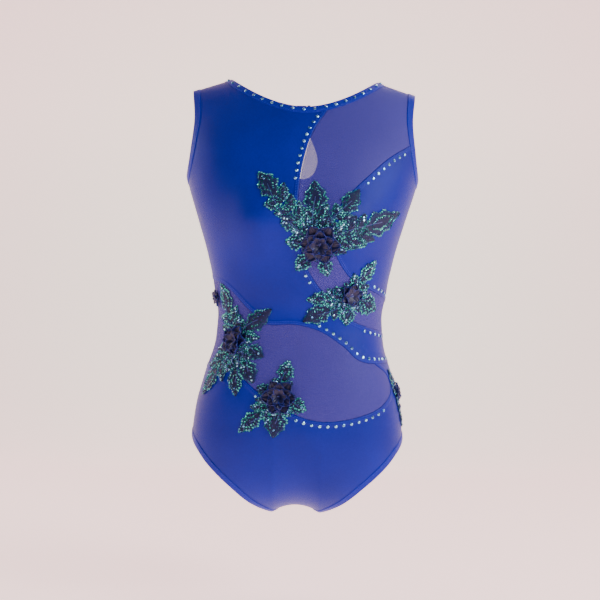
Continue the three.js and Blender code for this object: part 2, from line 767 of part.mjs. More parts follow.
// Lace is a thin layer on the cloth, stamped out along the direction it faces.
function addLace() {
  const pastSideSeam = 30;
  const face = cut(clearOf(cloth, edges, laceMargin), "y", pastSideSeam, -1);
  const stampDepth = 95 * through;
  const stampLift = 30;
  const stampMargin = 4;
  for (const [name, spray] of Object.entries(sprays)) {
    const frame = frameOn(spray.turn, spray.z * down);
    const basis = new THREE.Matrix4().makeBasis(frame.right, frame.up, frame.normal);
    basis.setPosition(frame.place);
    const outlines = [discOutline(spray.disc), ...spray.sprigs.map(sprigOutline)];
    const stamps = outlines.map((outline) => {
      const stretch = { depth: stampDepth + stampLift, bevelEnabled: false };
      const block = new THREE.ExtrudeGeometry(new THREE.Shape(outline), stretch);
      return solidFrom(block.translate(0, 0, -stampDepth).applyMatrix4(basis));
    });
    const farthest = Math.max(...spray.sprigs.map(([, reach]) => reach)) + stampMargin;
    const z = spray.z * down;
    const nearby = band(face, "z", z - farthest, z + farthest);
    const layer = solidFrom(layeredBody([{ triangles: nearby, layers: [[laceBottom, laceTop]] }]));
    add(name, geometryFrom(kernel.Manifold.union(stamps).intersect(layer)), "lace");
  }
}

// ---------------------------------------------------------------- organza flowers
function frameOn(turn, z) {
  const place = onCloth(turn, z);
  const sideways = onCloth(turn + 1, z).sub(onCloth(turn - 1, z)).normalize();
  const upward = onCloth(turn, z + 1).sub(onCloth(turn, z - 1)).normalize();
  const normal = sideways.clone().cross(upward).normalize();
  const right = upward.clone().cross(normal).normalize();
  return { place, right, up: upward, normal };
}

const framePoint = (frame, right, up, out) =>
  frame.place
    .clone()
    .addScaledVector(frame.right, right)
    .addScaledVector(frame.up, up)
    .addScaledVector(frame.normal, out);

// A cupped, waved disc of organza; its wave has one crest to each petal.
function petals(name, frame, { radius, count, base, lift, wave }) {
  const thickness = 0.8;
  const petalBulge = 0.12;
  const shares = [0.3, 0.65, 1];
  const steps = count * 3;
  const at = (share, step, out) => {
    const angle = (step / steps) * 2 * Math.PI;
    const r = radius * share * (1 + petalBulge * share * Math.cos(count * angle));
    const height = base + lift * share ** 2 + wave * share ** 3 * Math.sin(count * angle * 2) + out;
    return framePoint(frame, r * Math.cos(angle), r * Math.sin(angle), height);
  };
  const faces = [];
  for (let j = 0; j < steps; j += 1) {
    const k = (j + 1) % steps;
    const [topHub, lowHub] = [thickness, 0].map((out) => framePoint(frame, 0, 0, base + out));
    faces.push([topHub, at(shares[0], j, thickness), at(shares[0], k, thickness)]);
    faces.push([lowHub, at(shares[0], k, 0), at(shares[0], j, 0)]);
    for (let i = 0; i + 1 < shares.length; i += 1) {
      const [a, b] = [shares[i], shares[i + 1]];
      faces.push([at(a, j, thickness), at(b, j, thickness), at(b, k, thickness)]);
      faces.push([at(a, j, thickness), at(b, k, thickness), at(a, k, thickness)]);
      faces.push([at(a, j, 0), at(b, k, 0), at(b, j, 0)], [at(a, j, 0), at(a, k, 0), at(b, k, 0)]);
    }
    const top = [at(1, j, thickness), at(1, k, thickness)];
    const low = [at(1, j, 0), at(1, k, 0)];
    faces.push([top[0], low[0], low[1]], [top[0], low[1], top[1]]);
  }
  add(name, geometryOf(faces), "organza");
}

// A round shape standing on the cloth, from a half outline of [radius, height].
function turned(name, frame, outline, sides = 10) {
  const points = outline.map(([radius, height]) => new THREE.Vector2(radius, height));
  const geometry = new THREE.LatheGeometry(points, sides);
  const basis = new THREE.Matrix4().makeBasis(frame.right, frame.normal, frame.up.clone().negate());
  geometry.applyMatrix4(basis.setPosition(frame.place));
  add(name, geometry, "pearl");
}

// A flower of one or two layers with a bead in its middle, standing on a seat level.
function flower(name, turn, z, radius, count, layers, seat) {
  const frame = frameOn(turn, z * down);
  const base = seat + restGap;
  const layerStep = 1.3;
  petals(`${name}_petals`, frame, { radius, count, base, lift: radius * 0.24, wave: radius * 0.06 });
  if (layers > 1) {
    const cup = { radius: radius * 0.62, count: count - 1, base: base + layerStep };
    petals(`${name}_inner_petals`, frame, { ...cup, lift: radius * 0.3, wave: radius * 0.03 });
  }
  const foot = base + layerStep * layers;
  const bead = Math.max(2.2, radius * 0.13);
  const dome = [[0, 0], [0.8, 0], [1, 0.5], [0.6, 1], [0, 1.2]];
  turned(`${name}_bead`, frame, dome.map(([share, up]) => [bead * share, foot + bead * up]));
}

function addFlowers() {
  flower("chest_flower", 10.7, -214, flowerRadius, 6, 2, laceTop);
  flower("waist_flower", 34.5, -276, flowerRadius * 0.6, 5, 1, laceTop);
  flower("right_hip_flower", -47, -336, flowerRadius * 0.75, 5, 2, laceTop);
  flower("right_waist_blossom", -75, -282, flowerRadius * 0.45, 5, 1, half);
  flower("lower_flower", -10.4, -403, flowerRadius * 0.85, 6, 2, laceTop);
  flower("left_hip_blossom", 80, -398, flowerRadius * 0.45, 5, 1, laceTop);
}

// ---------------------------------------------------------------- nape closure
// A flat frame on the cloth at the top of the keyhole; its right is the wearer's right.
function napeFrame() {
  const z = shoulderLine(neckHalfWidth) - backNeckDrop - bindingWidth / 2;
  const reach = 8;
  const [low, high] = [z - reach, z + reach].map((height) => snapToCloth(onCloth(180, height)).place);
  const right = new THREE.Vector3(-1, 0, 0);
  const up = high.clone().sub(low).normalize();
  const normal = right.clone().cross(up);
  return { place: low.lerp(high, 0.5), right, up, normal };
}

const nape = napeFrame();
const buttonRadius = buttonDiameter / 2;
const buttonAt = buttonRadius + 3.2;
const loopHinge = -3.4;
const napeRest = bindingHalf + restGap;

// A shanked button: a thin neck, which the loop goes round, under a wider head.
function addButton() {
  const shank = 1.9;
  const neck = napeRest + loopCord + 0.9;
  const rimTop = neck + 1;
  const crown = neck + 2.6;
  const outline = [[0, napeRest], [shank, napeRest], [shank, neck], [buttonRadius, neck],
    [buttonRadius, rimTop], [buttonRadius * 0.6, crown - 0.4], [0, crown]];
  turned("nape_button", { ...nape, place: framePoint(nape, buttonAt, 0, 0) }, outline, 14);
}

const loopReach = buttonRadius + 0.7 + loopCord / 2;

// A cord bent into a U round the button; its two feet lie on the hinge line.
function addLoop() {
  const cord = loopCord / 2;
  const level = napeRest + cord;
  const bends = 8;
  const path = [[loopHinge, -loopReach], [buttonAt, -loopReach]];
  for (let i = 1; i < bends; i += 1) {
    const angle = (i / bends) * Math.PI - Math.PI / 2;
    path.push([buttonAt + loopReach * Math.cos(angle), loopReach * Math.sin(angle)]);
  }
  path.push([buttonAt, loopReach], [loopHinge, loopReach]);
  const sides = 6;
  const rings = path.map(([x, up], i) => {
    const before = path[Math.max(i - 1, 0)];
    const after = path[Math.min(i + 1, path.length - 1)];
    const along = new THREE.Vector2(after[0] - before[0], after[1] - before[1]).normalize();
    return Array.from({ length: sides }, (_, k) => {
      const angle = (k / sides) * 2 * Math.PI;
      const off = cord * Math.cos(angle);
      return framePoint(nape, x - along.y * off, up + along.x * off, level + cord * Math.sin(angle));
    });
  });
  add("button_loop", tubeOf(rings), "elastic");
}

// The strip of binding that holds the loop's two feet.
function addTab() {
  const width = 4.05;
  const right = loopHinge - loopCord / 2 - restGap;
  const top = napeRest + loopCord;
  const halfLength = loopReach + 2;
  const corners = [[right - width, napeRest], [right, napeRest], [right, top], [right - width, top]];
  const endAt = (up) => corners.map(([x, out]) => framePoint(nape, x, up, out));
  add("loop_tab", tubeOf([endAt(halfLength), endAt(-halfLength)]), "binding");
}

addPanels();
addEdges();
addSeams();
addLining();
addLabel();
addStones();
addLace();
addFlowers();
addButton();
addLoop();
addTab();

export default model;
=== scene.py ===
"""A gymnastics leotard in its worn shape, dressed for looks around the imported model.

Every cloth piece is cut from one fine surface, the body cloth, by the same pattern lines
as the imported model.  Lengths in the functions are in millimetres; meshes are in metres.
"""
import json
import math
from collections import namedtuple

import bpy
import numpy as np
from mathutils import Matrix, Vector


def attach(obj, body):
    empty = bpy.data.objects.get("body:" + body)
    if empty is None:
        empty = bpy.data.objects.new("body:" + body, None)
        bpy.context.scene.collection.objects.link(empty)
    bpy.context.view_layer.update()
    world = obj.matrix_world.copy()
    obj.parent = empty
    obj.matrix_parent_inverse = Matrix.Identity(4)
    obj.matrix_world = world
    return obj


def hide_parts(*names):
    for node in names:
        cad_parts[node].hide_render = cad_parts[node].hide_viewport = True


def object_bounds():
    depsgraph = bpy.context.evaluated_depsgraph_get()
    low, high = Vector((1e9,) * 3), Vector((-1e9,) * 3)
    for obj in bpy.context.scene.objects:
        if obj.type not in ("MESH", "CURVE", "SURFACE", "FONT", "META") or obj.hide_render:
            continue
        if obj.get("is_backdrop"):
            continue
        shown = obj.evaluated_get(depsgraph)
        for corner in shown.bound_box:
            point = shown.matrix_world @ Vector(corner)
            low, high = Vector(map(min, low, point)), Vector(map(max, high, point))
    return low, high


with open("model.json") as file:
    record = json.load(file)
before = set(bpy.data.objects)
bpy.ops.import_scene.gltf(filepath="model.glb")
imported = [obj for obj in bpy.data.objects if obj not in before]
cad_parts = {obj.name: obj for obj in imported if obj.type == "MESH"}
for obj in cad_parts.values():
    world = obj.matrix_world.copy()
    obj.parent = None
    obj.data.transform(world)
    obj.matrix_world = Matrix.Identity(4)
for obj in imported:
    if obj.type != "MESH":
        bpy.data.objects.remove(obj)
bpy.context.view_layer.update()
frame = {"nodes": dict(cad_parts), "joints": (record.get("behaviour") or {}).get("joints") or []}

bl_info = {
    "name": "Gymnastics leotard",
    "version": (1, 0, 0),
    "blender": (4, 5, 0),
    "location": "View3D > Sidebar > Leotard",
    "description": "Builds a stretch leotard with net windows, rhinestones, lace and flowers",
    "category": "Add Mesh",
}

MM = 0.001


# ------------------------------------------------------------------ sizes and colours
def length(name, default, description):
    """A length property; its default is in millimetres."""
    return bpy.props.FloatProperty(
        name=name, description=description, default=default * MM, min=0, precision=5, unit="LENGTH"
    )


def colour(name, default, description):
    """A colour property, in linear light."""
    return bpy.props.FloatVectorProperty(
        name=name, description=description, default=default, min=0, max=1, size=3, subtype="COLOR"
    )


class LeotardSizes(bpy.types.PropertyGroup):
    """Sizes of the cloth, the stitches and the ornaments"""

    cloth_thickness: length("Cloth thickness", 0.8, "Thickness of the stretch knit")
    net_thickness: length("Net thickness", 0.4, "Thickness of the see-through net")
    turned_edge: length("Turned edge", 5, "Width of the edge turned under where cloth meets net")
    binding_width: length("Binding width", 10, "Finished width of the neck and armhole bindings")
    hem_width: length("Hem width", 9, "Finished width of the leg hems")
    elastic_width: length("Elastic width", 5, "Width of the elastic inside the bindings and hems")
    crease_depth: length("Crease depth", 0.75, "Height of the drag lines in the cloth")
    stone_width: length("Stone width", 4, "Diameter of a rhinestone")
    stone_pitch: length("Stone spacing", 10, "Distance between rhinestones along a seam")
    neck_stone_pitch: length("Neck stone spacing", 14, "Distance between rhinestones on the neck")
    stitch_length: length("Stitch length", 2.4, "Length of one topstitch")
    stitch_gap: length("Stitch gap", 0.9, "Gap between topstitches")
    sequin_width: length("Sequin width", 3.1, "Diameter of a sequin")
    flower_radius: length("Flower radius", 27, "Radius of the largest flower")


class LeotardColours(bpy.types.PropertyGroup):
    """Colours of the cloth, the ornaments and the backdrop"""

    cloth: colour("Cloth", (0.002, 0.006, 0.16), "Royal blue of the stretch knit")
    # Paler blue on the loop tops and in random patches: a painted highlight on the loops, and mottle; it
    # is not tied to stretch.
    cloth_loop_highlight_and_mottle: colour("Cloth loop highlight and mottle", (0.004, 0.014, 0.40), "Royal blue where the knit is stretched")
    net: colour("Net", (0.050, 0.045, 0.32), "Violet blue of the net")
    binding: colour("Binding", (0.003, 0.009, 0.26), "Blue of bindings and hems")
    thread: colour("Thread", (0.008, 0.024, 0.50), "Blue of the topstitching")
    overlock: colour("Overlock", (0.020, 0.045, 0.30), "Blue of the threads inside the seams")
    elastic: colour("Elastic", (0.72, 0.70, 0.66), "Off-white of the woven elastic")
    lace: colour("Lace", (0.001, 0.002, 0.030), "Navy of the lace ground")
    cord: colour("Lace cord", (0.010, 0.030, 0.17), "Blue of the cord round the lace leaves")
    sequin: colour("Sequin", (0.02, 0.42, 0.33), "Teal of the sequins")
    sequin_other: colour("Second sequin", (0.015, 0.16, 0.26), "Blue of the darker sequins")
    crystal: colour("Crystal", (0.06, 0.28, 0.62), "Pale blue of the rhinestones")
    organza: colour("Organza", (0.001, 0.003, 0.045), "Navy of the petals")
    # Painted sheen: the petals turn to this blue towards their edges and tips.
    organza_edge_sheen: colour("Petal edge sheen", (0.010, 0.028, 0.32), "Blue of the petal edges")
    bead: colour("Bead", (0.010, 0.020, 0.15), "Navy of the beads")
    button: colour("Button", (0.020, 0.050, 0.42), "Blue of the nape button")
    label: colour("Label", (0.80, 0.79, 0.75), "White of the care label")
    wall_centre: colour("Wall centre", (0.90, 0.83, 0.74), "Cream at the middle of the backdrop")
    wall_edge: colour("Wall edge", (0.90, 0.66, 0.64), "Pink at the edges of the backdrop")


def size(name):
    """A size in millimetres."""
    return getattr(bpy.context.scene.leotard_sizes, name) / MM


def tint(name):
    """A colour with full alpha."""
    return (*getattr(bpy.context.scene.leotard_colours, name), 1)


# ------------------------------------------------------------------ the body cloth
# Height, half width, depth in front of and behind the side seam.
STATIONS = np.array([
    [-560, 137, 94, 104],
    [-480, 137, 95, 106],
    [-420, 131, 96, 98],
    [-380, 121, 92, 86],
    [-340, 109, 87, 74],
    [-307, 106, 85, 70],
    [-281, 109, 88, 74],
    [-230, 119, 98, 84],
    [-185, 132, 106, 92],
    [-140, 146, 99, 94],
    [-100, 153, 88, 88],
    [-41, 156, 66, 70],
    [0, 158, 54, 50],
    [40, 158, 40, 36],
], float)
GARMENT_LENGTH = 548
SQUARENESS = 2.3
SHOULDER_ROUND = 110
CROTCH_ROUND = 108
CROTCH_STRIP = 30
CROTCH_DROOP = 9
NECK_HALF_WIDTH = 94
NECK_ROUNDNESS = 1.8
FRONT_NECK_DROP = 41
BACK_NECK_DROP = 25
SHOULDER_SLOPE = 0.33
RIDGE_BLEND = 20
BUST = {"x": 60, "z": -188, "rise": 14, "wide": 34, "tall": 42}
SEAT = {"x": 62, "z": -462, "rise": 17, "wide": 46, "tall": 52}


def neighbour_slopes(places, values):
    """At each point, the slope of the chord between its two neighbours."""
    ahead = np.minimum(np.arange(len(places)) + 1, len(places) - 1)
    behind = np.maximum(np.arange(len(places)) - 1, 0)
    return (values[ahead] - values[behind]) / (places[ahead] - places[behind])


def along_stations(z, column):
    """One measure of the body at height z: a cubic between stations with matched slopes."""
    heights, values = STATIONS[:, 0], STATIONS[:, column]
    slopes = neighbour_slopes(heights, values)
    i = np.clip(np.searchsorted(heights, z) - 1, 0, len(heights) - 2)
    step = heights[i + 1] - heights[i]
    t = np.clip((z - heights[i]) / step, 0, 1)
    u = 1 - t
    start = (1 + 2 * t) * u * u * values[i] + t * u * u * step * slopes[i]
    end = t * t * (3 - 2 * t) * values[i + 1] - t * t * u * step * slopes[i + 1]
    return start + end


def shoulder_line(x):
    """Height of the shoulder ridge: a straight slope, blended level at the middle."""
    top = SHOULDER_SLOPE * math.hypot(NECK_HALF_WIDTH, RIDGE_BLEND)
    return top - SHOULDER_SLOPE * np.hypot(x, RIDGE_BLEND)


def crotch_line(x):
    """Height of the lowest line: it dips by the droop from the middle to the leg."""
    return -GARMENT_LENGTH - CROTCH_DROOP * np.minimum(1, (x / CROTCH_STRIP) ** 2)


def quarter_round(distance, reach):
    """A quarter circle that rises from 0 to 1 over the reach."""
    return np.sqrt(1 - (1 - np.clip(distance / reach, 0, 1)) ** 2)


def fullness(spot, x, z):
    """A bell-shaped rise over each side of the body."""
    sideways = (np.abs(x) - spot["x"]) / spot["wide"]
    upward = (z - spot["z"]) / spot["tall"]
    return spot["rise"] * np.exp(-(sideways**2) - upward**2)


def creases(turn, z):
    """Height of the drag lines: slow waves that fade away from the waist and the armholes."""
    t = np.radians(turn)
    waist = np.exp(-(((z + 300) / 60) ** 2)) * np.sin(z / 7.5 + 2.2 * np.sin(2 * t) + 0.6)
    fold = np.exp(-(((z + 250) / 120) ** 2)) * np.sin(5 * t + z / 46)
    arm = np.exp(-(((z + 120) / 55) ** 2)) * np.sin(z / 13 + 7 * np.abs(t)) * np.abs(np.sin(t))
    hip = np.exp(-(((z + 455) / 60) ** 2)) * np.sin(z / 15 - 5 * np.abs(t))
    return size("crease_depth") * (0.45 * waist + 0.55 * fold + 0.45 * arm + 0.3 * hip)


def on_cloth(turn, z):
    """A place on the cloth, from degrees round the body and a height.

    x is the half width times the sine of the turn.  The depth is a squared-off oval,
    plus the fullness, times a quarter round at the shoulder and at the crotch.
    """
    turn, z = np.broadcast_arrays(np.asarray(turn, float), np.asarray(z, float))
    back = np.abs(turn) > 90
    sine, cosine = np.sin(np.radians(turn)), np.cos(np.radians(turn))
    x = along_stations(z, 1) * sine
    bow = (1 - np.minimum(1, np.abs(sine)) ** SQUARENESS) ** (1 / SQUARENESS)
    depth = np.where(back, along_stations(z, 3), along_stations(z, 2)) * bow
    extra = np.where(back, fullness(SEAT, x, z), fullness(BUST, x, z)) * np.minimum(1, 2 * bow)
    top = quarter_round(shoulder_line(x) - z, SHOULDER_ROUND)
    bottom = quarter_round(z - crotch_line(x), CROTCH_ROUND)
    rise = creases(turn, z) * top * bottom
    y = np.where(back, 1, -1) * (depth + extra) * top * bottom - rise * cosine
    return np.stack([x + rise * sine, y, z], -1)


def unit(vectors):
    """The same directions, one long."""
    return vectors / np.maximum(np.linalg.norm(vectors, axis=-1, keepdims=True), 1e-12)


def cloth_slopes(turn, z):
    """How a place moves for one degree of turn and for one millimetre of height."""
    turn_step, height_step = 0.2, 0.5
    by_turn = (on_cloth(turn + turn_step, z) - on_cloth(turn - turn_step, z)) / (2 * turn_step)
    by_height = (on_cloth(turn, z + height_step) - on_cloth(turn, z - height_step)) / (2 * height_step)
    return by_turn, by_height


def outward(turn, z):
    """The direction away from the body at a place on the cloth."""
    by_turn, by_height = cloth_slopes(turn, z)
    return unit(np.cross(by_turn, by_height))


def dot(a, b):
    """The dot product of each pair of vectors."""
    return (a * b).sum(-1)


def settle(turn, z, target, right, up, steps=6):
    """Moves (turn, z) until the cloth there lies straight behind or before the target.

    Each step solves two linear equations: no error left along right, and none along up.
    """
    turn, z = np.asarray(turn, float), np.asarray(z, float)
    for _ in range(steps):
        error = target - on_cloth(turn, z)
        by_turn, by_height = cloth_slopes(turn, z)
        a, b = dot(by_turn, right), dot(by_height, right)
        c, d = dot(by_turn, up), dot(by_height, up)
        e, f = dot(error, right), dot(error, up)
        spread = a * d - b * c
        turn = turn + np.clip((e * d - b * f) / spread, -20, 20)
        z = z + np.clip((a * f - e * c) / spread, -40, 40)
    return turn, z


Spot = namedtuple("Spot", "turn z place right up normal")


def spot_on(turn, z):
    """A flat frame that touches the cloth: its place, right, up and outward directions."""
    by_turn, by_height = cloth_slopes(turn, z)
    normal = unit(np.cross(by_turn, by_height))
    up = unit(by_height)
    return Spot(turn, z, on_cloth(turn, z), unit(np.cross(up, normal)), up, normal)


def lay(spot, flat, lift):
    """Lays a flat drawing [right, up] on the cloth at a spot, lifted off by some height."""
    target = spot.place + flat[..., :1] * spot.right + flat[..., 1:] * spot.up
    per_degree = np.linalg.norm(cloth_slopes(spot.turn, spot.z)[0])
    turn = spot.turn + flat[..., 0] / per_degree
    turn, z = settle(turn, spot.z + flat[..., 1], target, spot.right, spot.up)
    return on_cloth(turn, z) + outward(turn, z) * np.asarray(lift)[..., None]


# ------------------------------------------------------------------ pattern lines
ARM_LINE = [[66, -17], [64, -58], [69, -98], [78, -120], [90, -127], [102, -120], [111, -98],
            [116, -58], [114, -17]]
LEG_LINE = [[12.4, -557], [25, -541], [39, -516], [54.5, -492], [70, -472], [90, -459], [109, -476],
            [124, -505], [141, -533], [156, -548], [167.6, -557]]
KEYHOLE_LINE = [[179.4, 40], [179.4, -25], [178.9, -48], [175, -72], [172.6, -92], [174.6, -111],
                [180, -118], [185.4, -111], [187.4, -92], [185, -72], [181.1, -48], [180.6, -25],
                [180.6, 40]]
BODICE_EDGE = [[16, -10], [11.5, -42], [4, -77], [-0.8, -128], [-2, -182], [2, -235], [16.5, -277],
               [41, -310], [90, -325]]
SIDE_PANEL_EDGE = [[74, -70], [62, -84], [45, -104], [31, -134], [20, -166], [16.5, -200], [25, -240],
                   [43, -264], [90, -285]]
BODICE_HEM = [[-90, -258], [-58, -266], [-36, -297], [-22.5, -314], [-3, -314], [14, -322], [30, -340],
              [46, -360], [90, -361]]
BRIEF_EDGE = [[-90, -366], [-54, -368], [-39, -376], [-25, -395], [-9, -416], [6, -430], [20, -432],
              [38, -425], [55, -413], [70, -393], [68, -375], [55, -361], [45, -340]]
LINE_STEPS = 96


def smooth_line(points, steps=LINE_STEPS):
    """A smooth curve through drawn points, cut into steps of equal drawn length.

    Between two points it is a cubic whose slopes are half the step between the neighbours.
    """
    points = np.array(points, float)
    last = len(points) - 1
    here = np.arange(last + 1)
    slopes = (points[np.minimum(here + 1, last)] - points[np.maximum(here - 1, 0)]) / 2
    t = np.linspace(0, 1, 24, endpoint=False)[None, :, None]
    a, b = points[:-1, None], points[1:, None]
    m, n = slopes[:-1, None], slopes[1:, None]
    places = (2 * t**3 - 3 * t**2 + 1) * a + (3 * t**2 - 2 * t**3) * b
    cubic = places + (t**3 - 2 * t**2 + t) * m + (t**3 - t**2) * n
    dense = np.vstack([cubic.reshape(-1, 2), points[-1:]])
    return evenly(dense, steps + 1)


def evenly(path, count):
    """The same path with a given number of points, spaced evenly along it."""
    run = np.concatenate([[0], np.cumsum(np.linalg.norm(np.diff(path, axis=0), axis=1))])
    places = np.linspace(0, run[-1], count)
    return np.stack([np.interp(places, run, path[:, k]) for k in range(path.shape[1])], -1)


def neck_height(share, drop):
    """Height of the neck edge at a share of the neck's half width."""
    return shoulder_line(NECK_HALF_WIDTH) - drop * (1 - np.abs(share) ** NECK_ROUNDNESS)


def neck_side(drop, back):
    """The neck edge on one side of the body, as drawn points."""
    share = np.linspace(-1, 1, LINE_STEPS + 1)
    z = neck_height(share, drop)
    sine = np.clip(share * NECK_HALF_WIDTH / along_stations(z, 1), -1, 1)
    turn = np.degrees(np.arcsin(sine))
    return np.stack([180 - turn if back else turn, z], -1)


def inside_outline(outline, turn, z):
    """Whether each place lies in a closed drawing: an upward ray crosses it an odd number of times."""
    a, b = outline, np.roll(outline, 1, axis=0)
    inside = np.zeros(turn.shape, bool)
    for (ax, az), (bx, bz) in zip(a, b):
        if az == bz:
            continue
        crossed = ((az > z) != (bz > z)) & (turn < (bx - ax) * (z - az) / (bz - az) + ax)
        inside ^= crossed
    return inside


def distance_to(path, points, reach=22.0):
    """Distance from each point to a path, up to a reach beyond which it no longer matters."""
    far = np.full(len(points), reach)
    near = ((points > path.min(0) - reach) & (points < path.max(0) + reach)).all(1)
    a, step = path[:-1], np.diff(path, axis=0)
    for chunk in np.array_split(np.flatnonzero(near), max(1, near.sum() // 8000)):
        offset = points[chunk, None] - a
        share = np.clip((offset * step).sum(-1) / (step**2).sum(-1), 0, 1)
        gap = np.linalg.norm(offset - share[..., None] * step, axis=-1).min(1)
        far[chunk] = np.minimum(far[chunk], gap)
    return far


def signed(line, closing, turn, z, points):
    """Distance to a pattern line, below zero inside its closed drawing."""
    drawn = smooth_line(line)
    outline = np.vstack([drawn, closing])
    far = distance_to(on_cloth(drawn[:, 0], drawn[:, 1]), points)
    return np.where(inside_outline(outline, turn, z), -far, far)


def neck_distance(turn, z, points):
    """Distance to the neck edge, below zero in the neck opening."""
    back = np.abs(turn) > 90
    drop = np.where(back, BACK_NECK_DROP, FRONT_NECK_DROP)
    share = np.minimum(1, np.abs(points[:, 0]) / NECK_HALF_WIDTH)
    edges = [neck_side(FRONT_NECK_DROP, False), neck_side(BACK_NECK_DROP, True)]
    far = np.minimum(*[distance_to(on_cloth(edge[:, 0], edge[:, 1]), points) for edge in edges])
    return np.where((share < 1) & (z > neck_height(share, drop)), -far, far)


def hole_pair(line, closing, turn, z, points):
    """The same opening on the left and on the right."""
    left = signed(line, closing, turn, z, points)
    right = signed(line, closing, -turn, z, points * [-1, 1, 1])
    return left, right


def measure_all(turn, z, points):
    """Signed distances from the cloth's corners to every pattern line."""
    arm = hole_pair(ARM_LINE, [[114, 60], [66, 60]], turn, z, points)
    leg = hole_pair(LEG_LINE, [[180, -640], [0, -640]], turn, z, points)
    inner = [[100, -700], [-100, -700]]
    above = [[100, -361], [100, 80], [-100, 80], [-100, -258]]
    return {
        "neck": neck_distance(turn, z, points),
        "left_arm": arm[0],
        "right_arm": arm[1],
        "left_leg": leg[0],
        "right_leg": leg[1],
        "keyhole": signed(KEYHOLE_LINE, np.empty((0, 2)), turn % 360, z, points),
        "bodice": -signed(BODICE_EDGE, [[100, -325], *inner, [-100, 60]], turn, z, points),
        "side_panel": -signed(SIDE_PANEL_EDGE, [[100, -285], [100, -70]], turn, z, points),
        "above_hem": -signed(BODICE_HEM, above, turn, z, points),
        "brief": -signed(BRIEF_EDGE, [[100, -340], *inner, [-100, -366]], turn, z, points),
    }


# ------------------------------------------------------------------ sheets and cutting
# A sheet has a table with one row for each corner, and faces of three corners.
Sheet = namedtuple("Sheet", "table faces")
MEASURES = ["neck", "left_arm", "right_arm", "left_leg", "right_leg", "keyhole", "bodice", "side_panel",
            "above_hem", "brief"]
EDGES = MEASURES[:6]
COLUMN = {"x": 0, "y": 1, "z": 2, **{name: 8 + i for i, name in enumerate(MEASURES)}}
POINT, NORMAL, PATTERN = slice(0, 3), slice(3, 6), slice(6, 8)
TOO_CLOSE = 0.02


def grid_faces(rows, columns):
    """Two triangles for each cell of a grid of points stored row by row."""
    i, j = np.meshgrid(np.arange(rows - 1), np.arange(columns - 1), indexing="ij")
    a = (i * columns + j).ravel()
    b, c, d = a + columns, a + columns + 1, a + 1
    return np.vstack([np.stack([a, b, c], 1), np.stack([a, c, d], 1)])


def row_shares():
    """Heights of the grid's rows as shares of the length, closer together at both ends."""
    top, bottom = SHOULDER_ROUND / GARMENT_LENGTH, CROTCH_ROUND / GARMENT_LENGTH
    crotch = bottom * (1 - np.cos(np.linspace(0, math.pi / 2, 56)))
    middle = np.linspace(bottom, 1 - top, 165)
    shoulder = 1 - top * (1 - np.cos(np.linspace(math.pi / 2, 0, 56)))
    return np.concatenate([crotch[:-1], middle[:-1], shoulder])


def corner_normals(points, faces):
    """At each corner, the mean direction of its faces, larger faces counting for more."""
    a, b, c = (points[faces[:, k]] for k in range(3))
    across = np.cross(b - a, c - a)
    total = [np.bincount(faces.ravel(), np.repeat(across[:, k], 3), len(points)) for k in range(3)]
    return unit(np.stack(total, -1))


def make_cloth():
    """The whole body cloth as one sheet, a grid of turns by heights.

    At the shoulder and crotch ridges the back's corners are the front's, so it closes there.
    The pattern coordinates are the length along a row from the centre front, and up a column.
    """
    columns = 440
    turns = np.arange(columns) * 360 / columns
    turns = np.where(turns > 180, turns - 360, turns)
    shares = row_shares()
    turn, share = np.meshgrid(turns, shares, indexing="ij")
    z = -GARMENT_LENGTH + share * GARMENT_LENGTH
    for _ in range(25):
        x = along_stations(z, 1) * np.sin(np.radians(turn))
        z = crotch_line(x) + share * (shoulder_line(x) - crotch_line(x))
    points = on_cloth(turn, z)
    across = np.linalg.norm(np.diff(points, axis=0, append=points[:1]), axis=-1)
    run = np.concatenate([np.zeros((1, len(shares))), np.cumsum(across, axis=0)[:-1]])
    girth = across.sum(axis=0)
    round_body = np.minimum(run, girth - run)
    upward = np.linalg.norm(np.diff(points, axis=1), axis=-1)
    up_body = np.concatenate([np.zeros((columns, 1)), np.cumsum(upward, axis=1)], axis=1)

    rows = len(shares)
    number = np.arange(columns * rows).reshape(columns, rows)
    behind = np.abs(turns) > 90
    partner = (columns // 2 - np.arange(columns)) % columns
    for end in (0, rows - 1):
        number[behind, end] = number[partner[behind], end]
    wrapped = np.vstack([number, number[:1]]).ravel()
    faces = wrapped[grid_faces(columns + 1, rows)]
    flat_points = points.reshape(-1, 3)
    used, faces = np.unique(faces, return_inverse=True)
    faces = faces.reshape(-1, 3)
    place = flat_points[used]
    far = measure_all(turn.ravel()[used], z.ravel()[used], place)
    pattern = np.stack([round_body.ravel()[used], up_body.ravel()[used]], -1)
    distances = np.stack([far[name] for name in MEASURES], -1)
    return Sheet(np.hstack([place, corner_normals(place, faces), pattern, distances]), faces)


def split(sheet, measure, level):
    """The same sheet with corners added where a measure reaches a level.

    A face that the level crosses has one corner alone on its side, and becomes three faces.
    """
    value = sheet.table[:, COLUMN[measure]] - level
    value = np.where(np.abs(value) < TOO_CLOSE, TOO_CLOSE, value)
    above = (value > 0)[sheet.faces]
    count = above.sum(1)
    mixed = (count == 1) | (count == 2)
    if not mixed.any():
        return sheet
    faces, above = sheet.faces[mixed], above[mixed]
    alone = (above == (count[mixed] == 1)[:, None]).argmax(1)
    rows = np.arange(len(faces))
    a, b, c = (faces[rows, (alone + k) % 3] for k in range(3))
    pairs = np.sort(np.vstack([np.stack([a, b], 1), np.stack([a, c], 1)]), axis=1)
    pairs, index = np.unique(pairs, axis=0, return_inverse=True)
    index = index.ravel()
    share = value[pairs[:, 0]] / (value[pairs[:, 0]] - value[pairs[:, 1]])
    first, second = sheet.table[pairs[:, 0]], sheet.table[pairs[:, 1]]
    fresh = first + (second - first) * share[:, None]
    ab, ac = len(sheet.table) + index[: len(a)], len(sheet.table) + index[len(a):]
    pieces = [np.stack(corners, 1) for corners in ((a, ab, ac), (ab, b, c), (ab, c, ac))]
    return Sheet(np.vstack([sheet.table, fresh]), np.vstack([sheet.faces[~mixed], *pieces]))


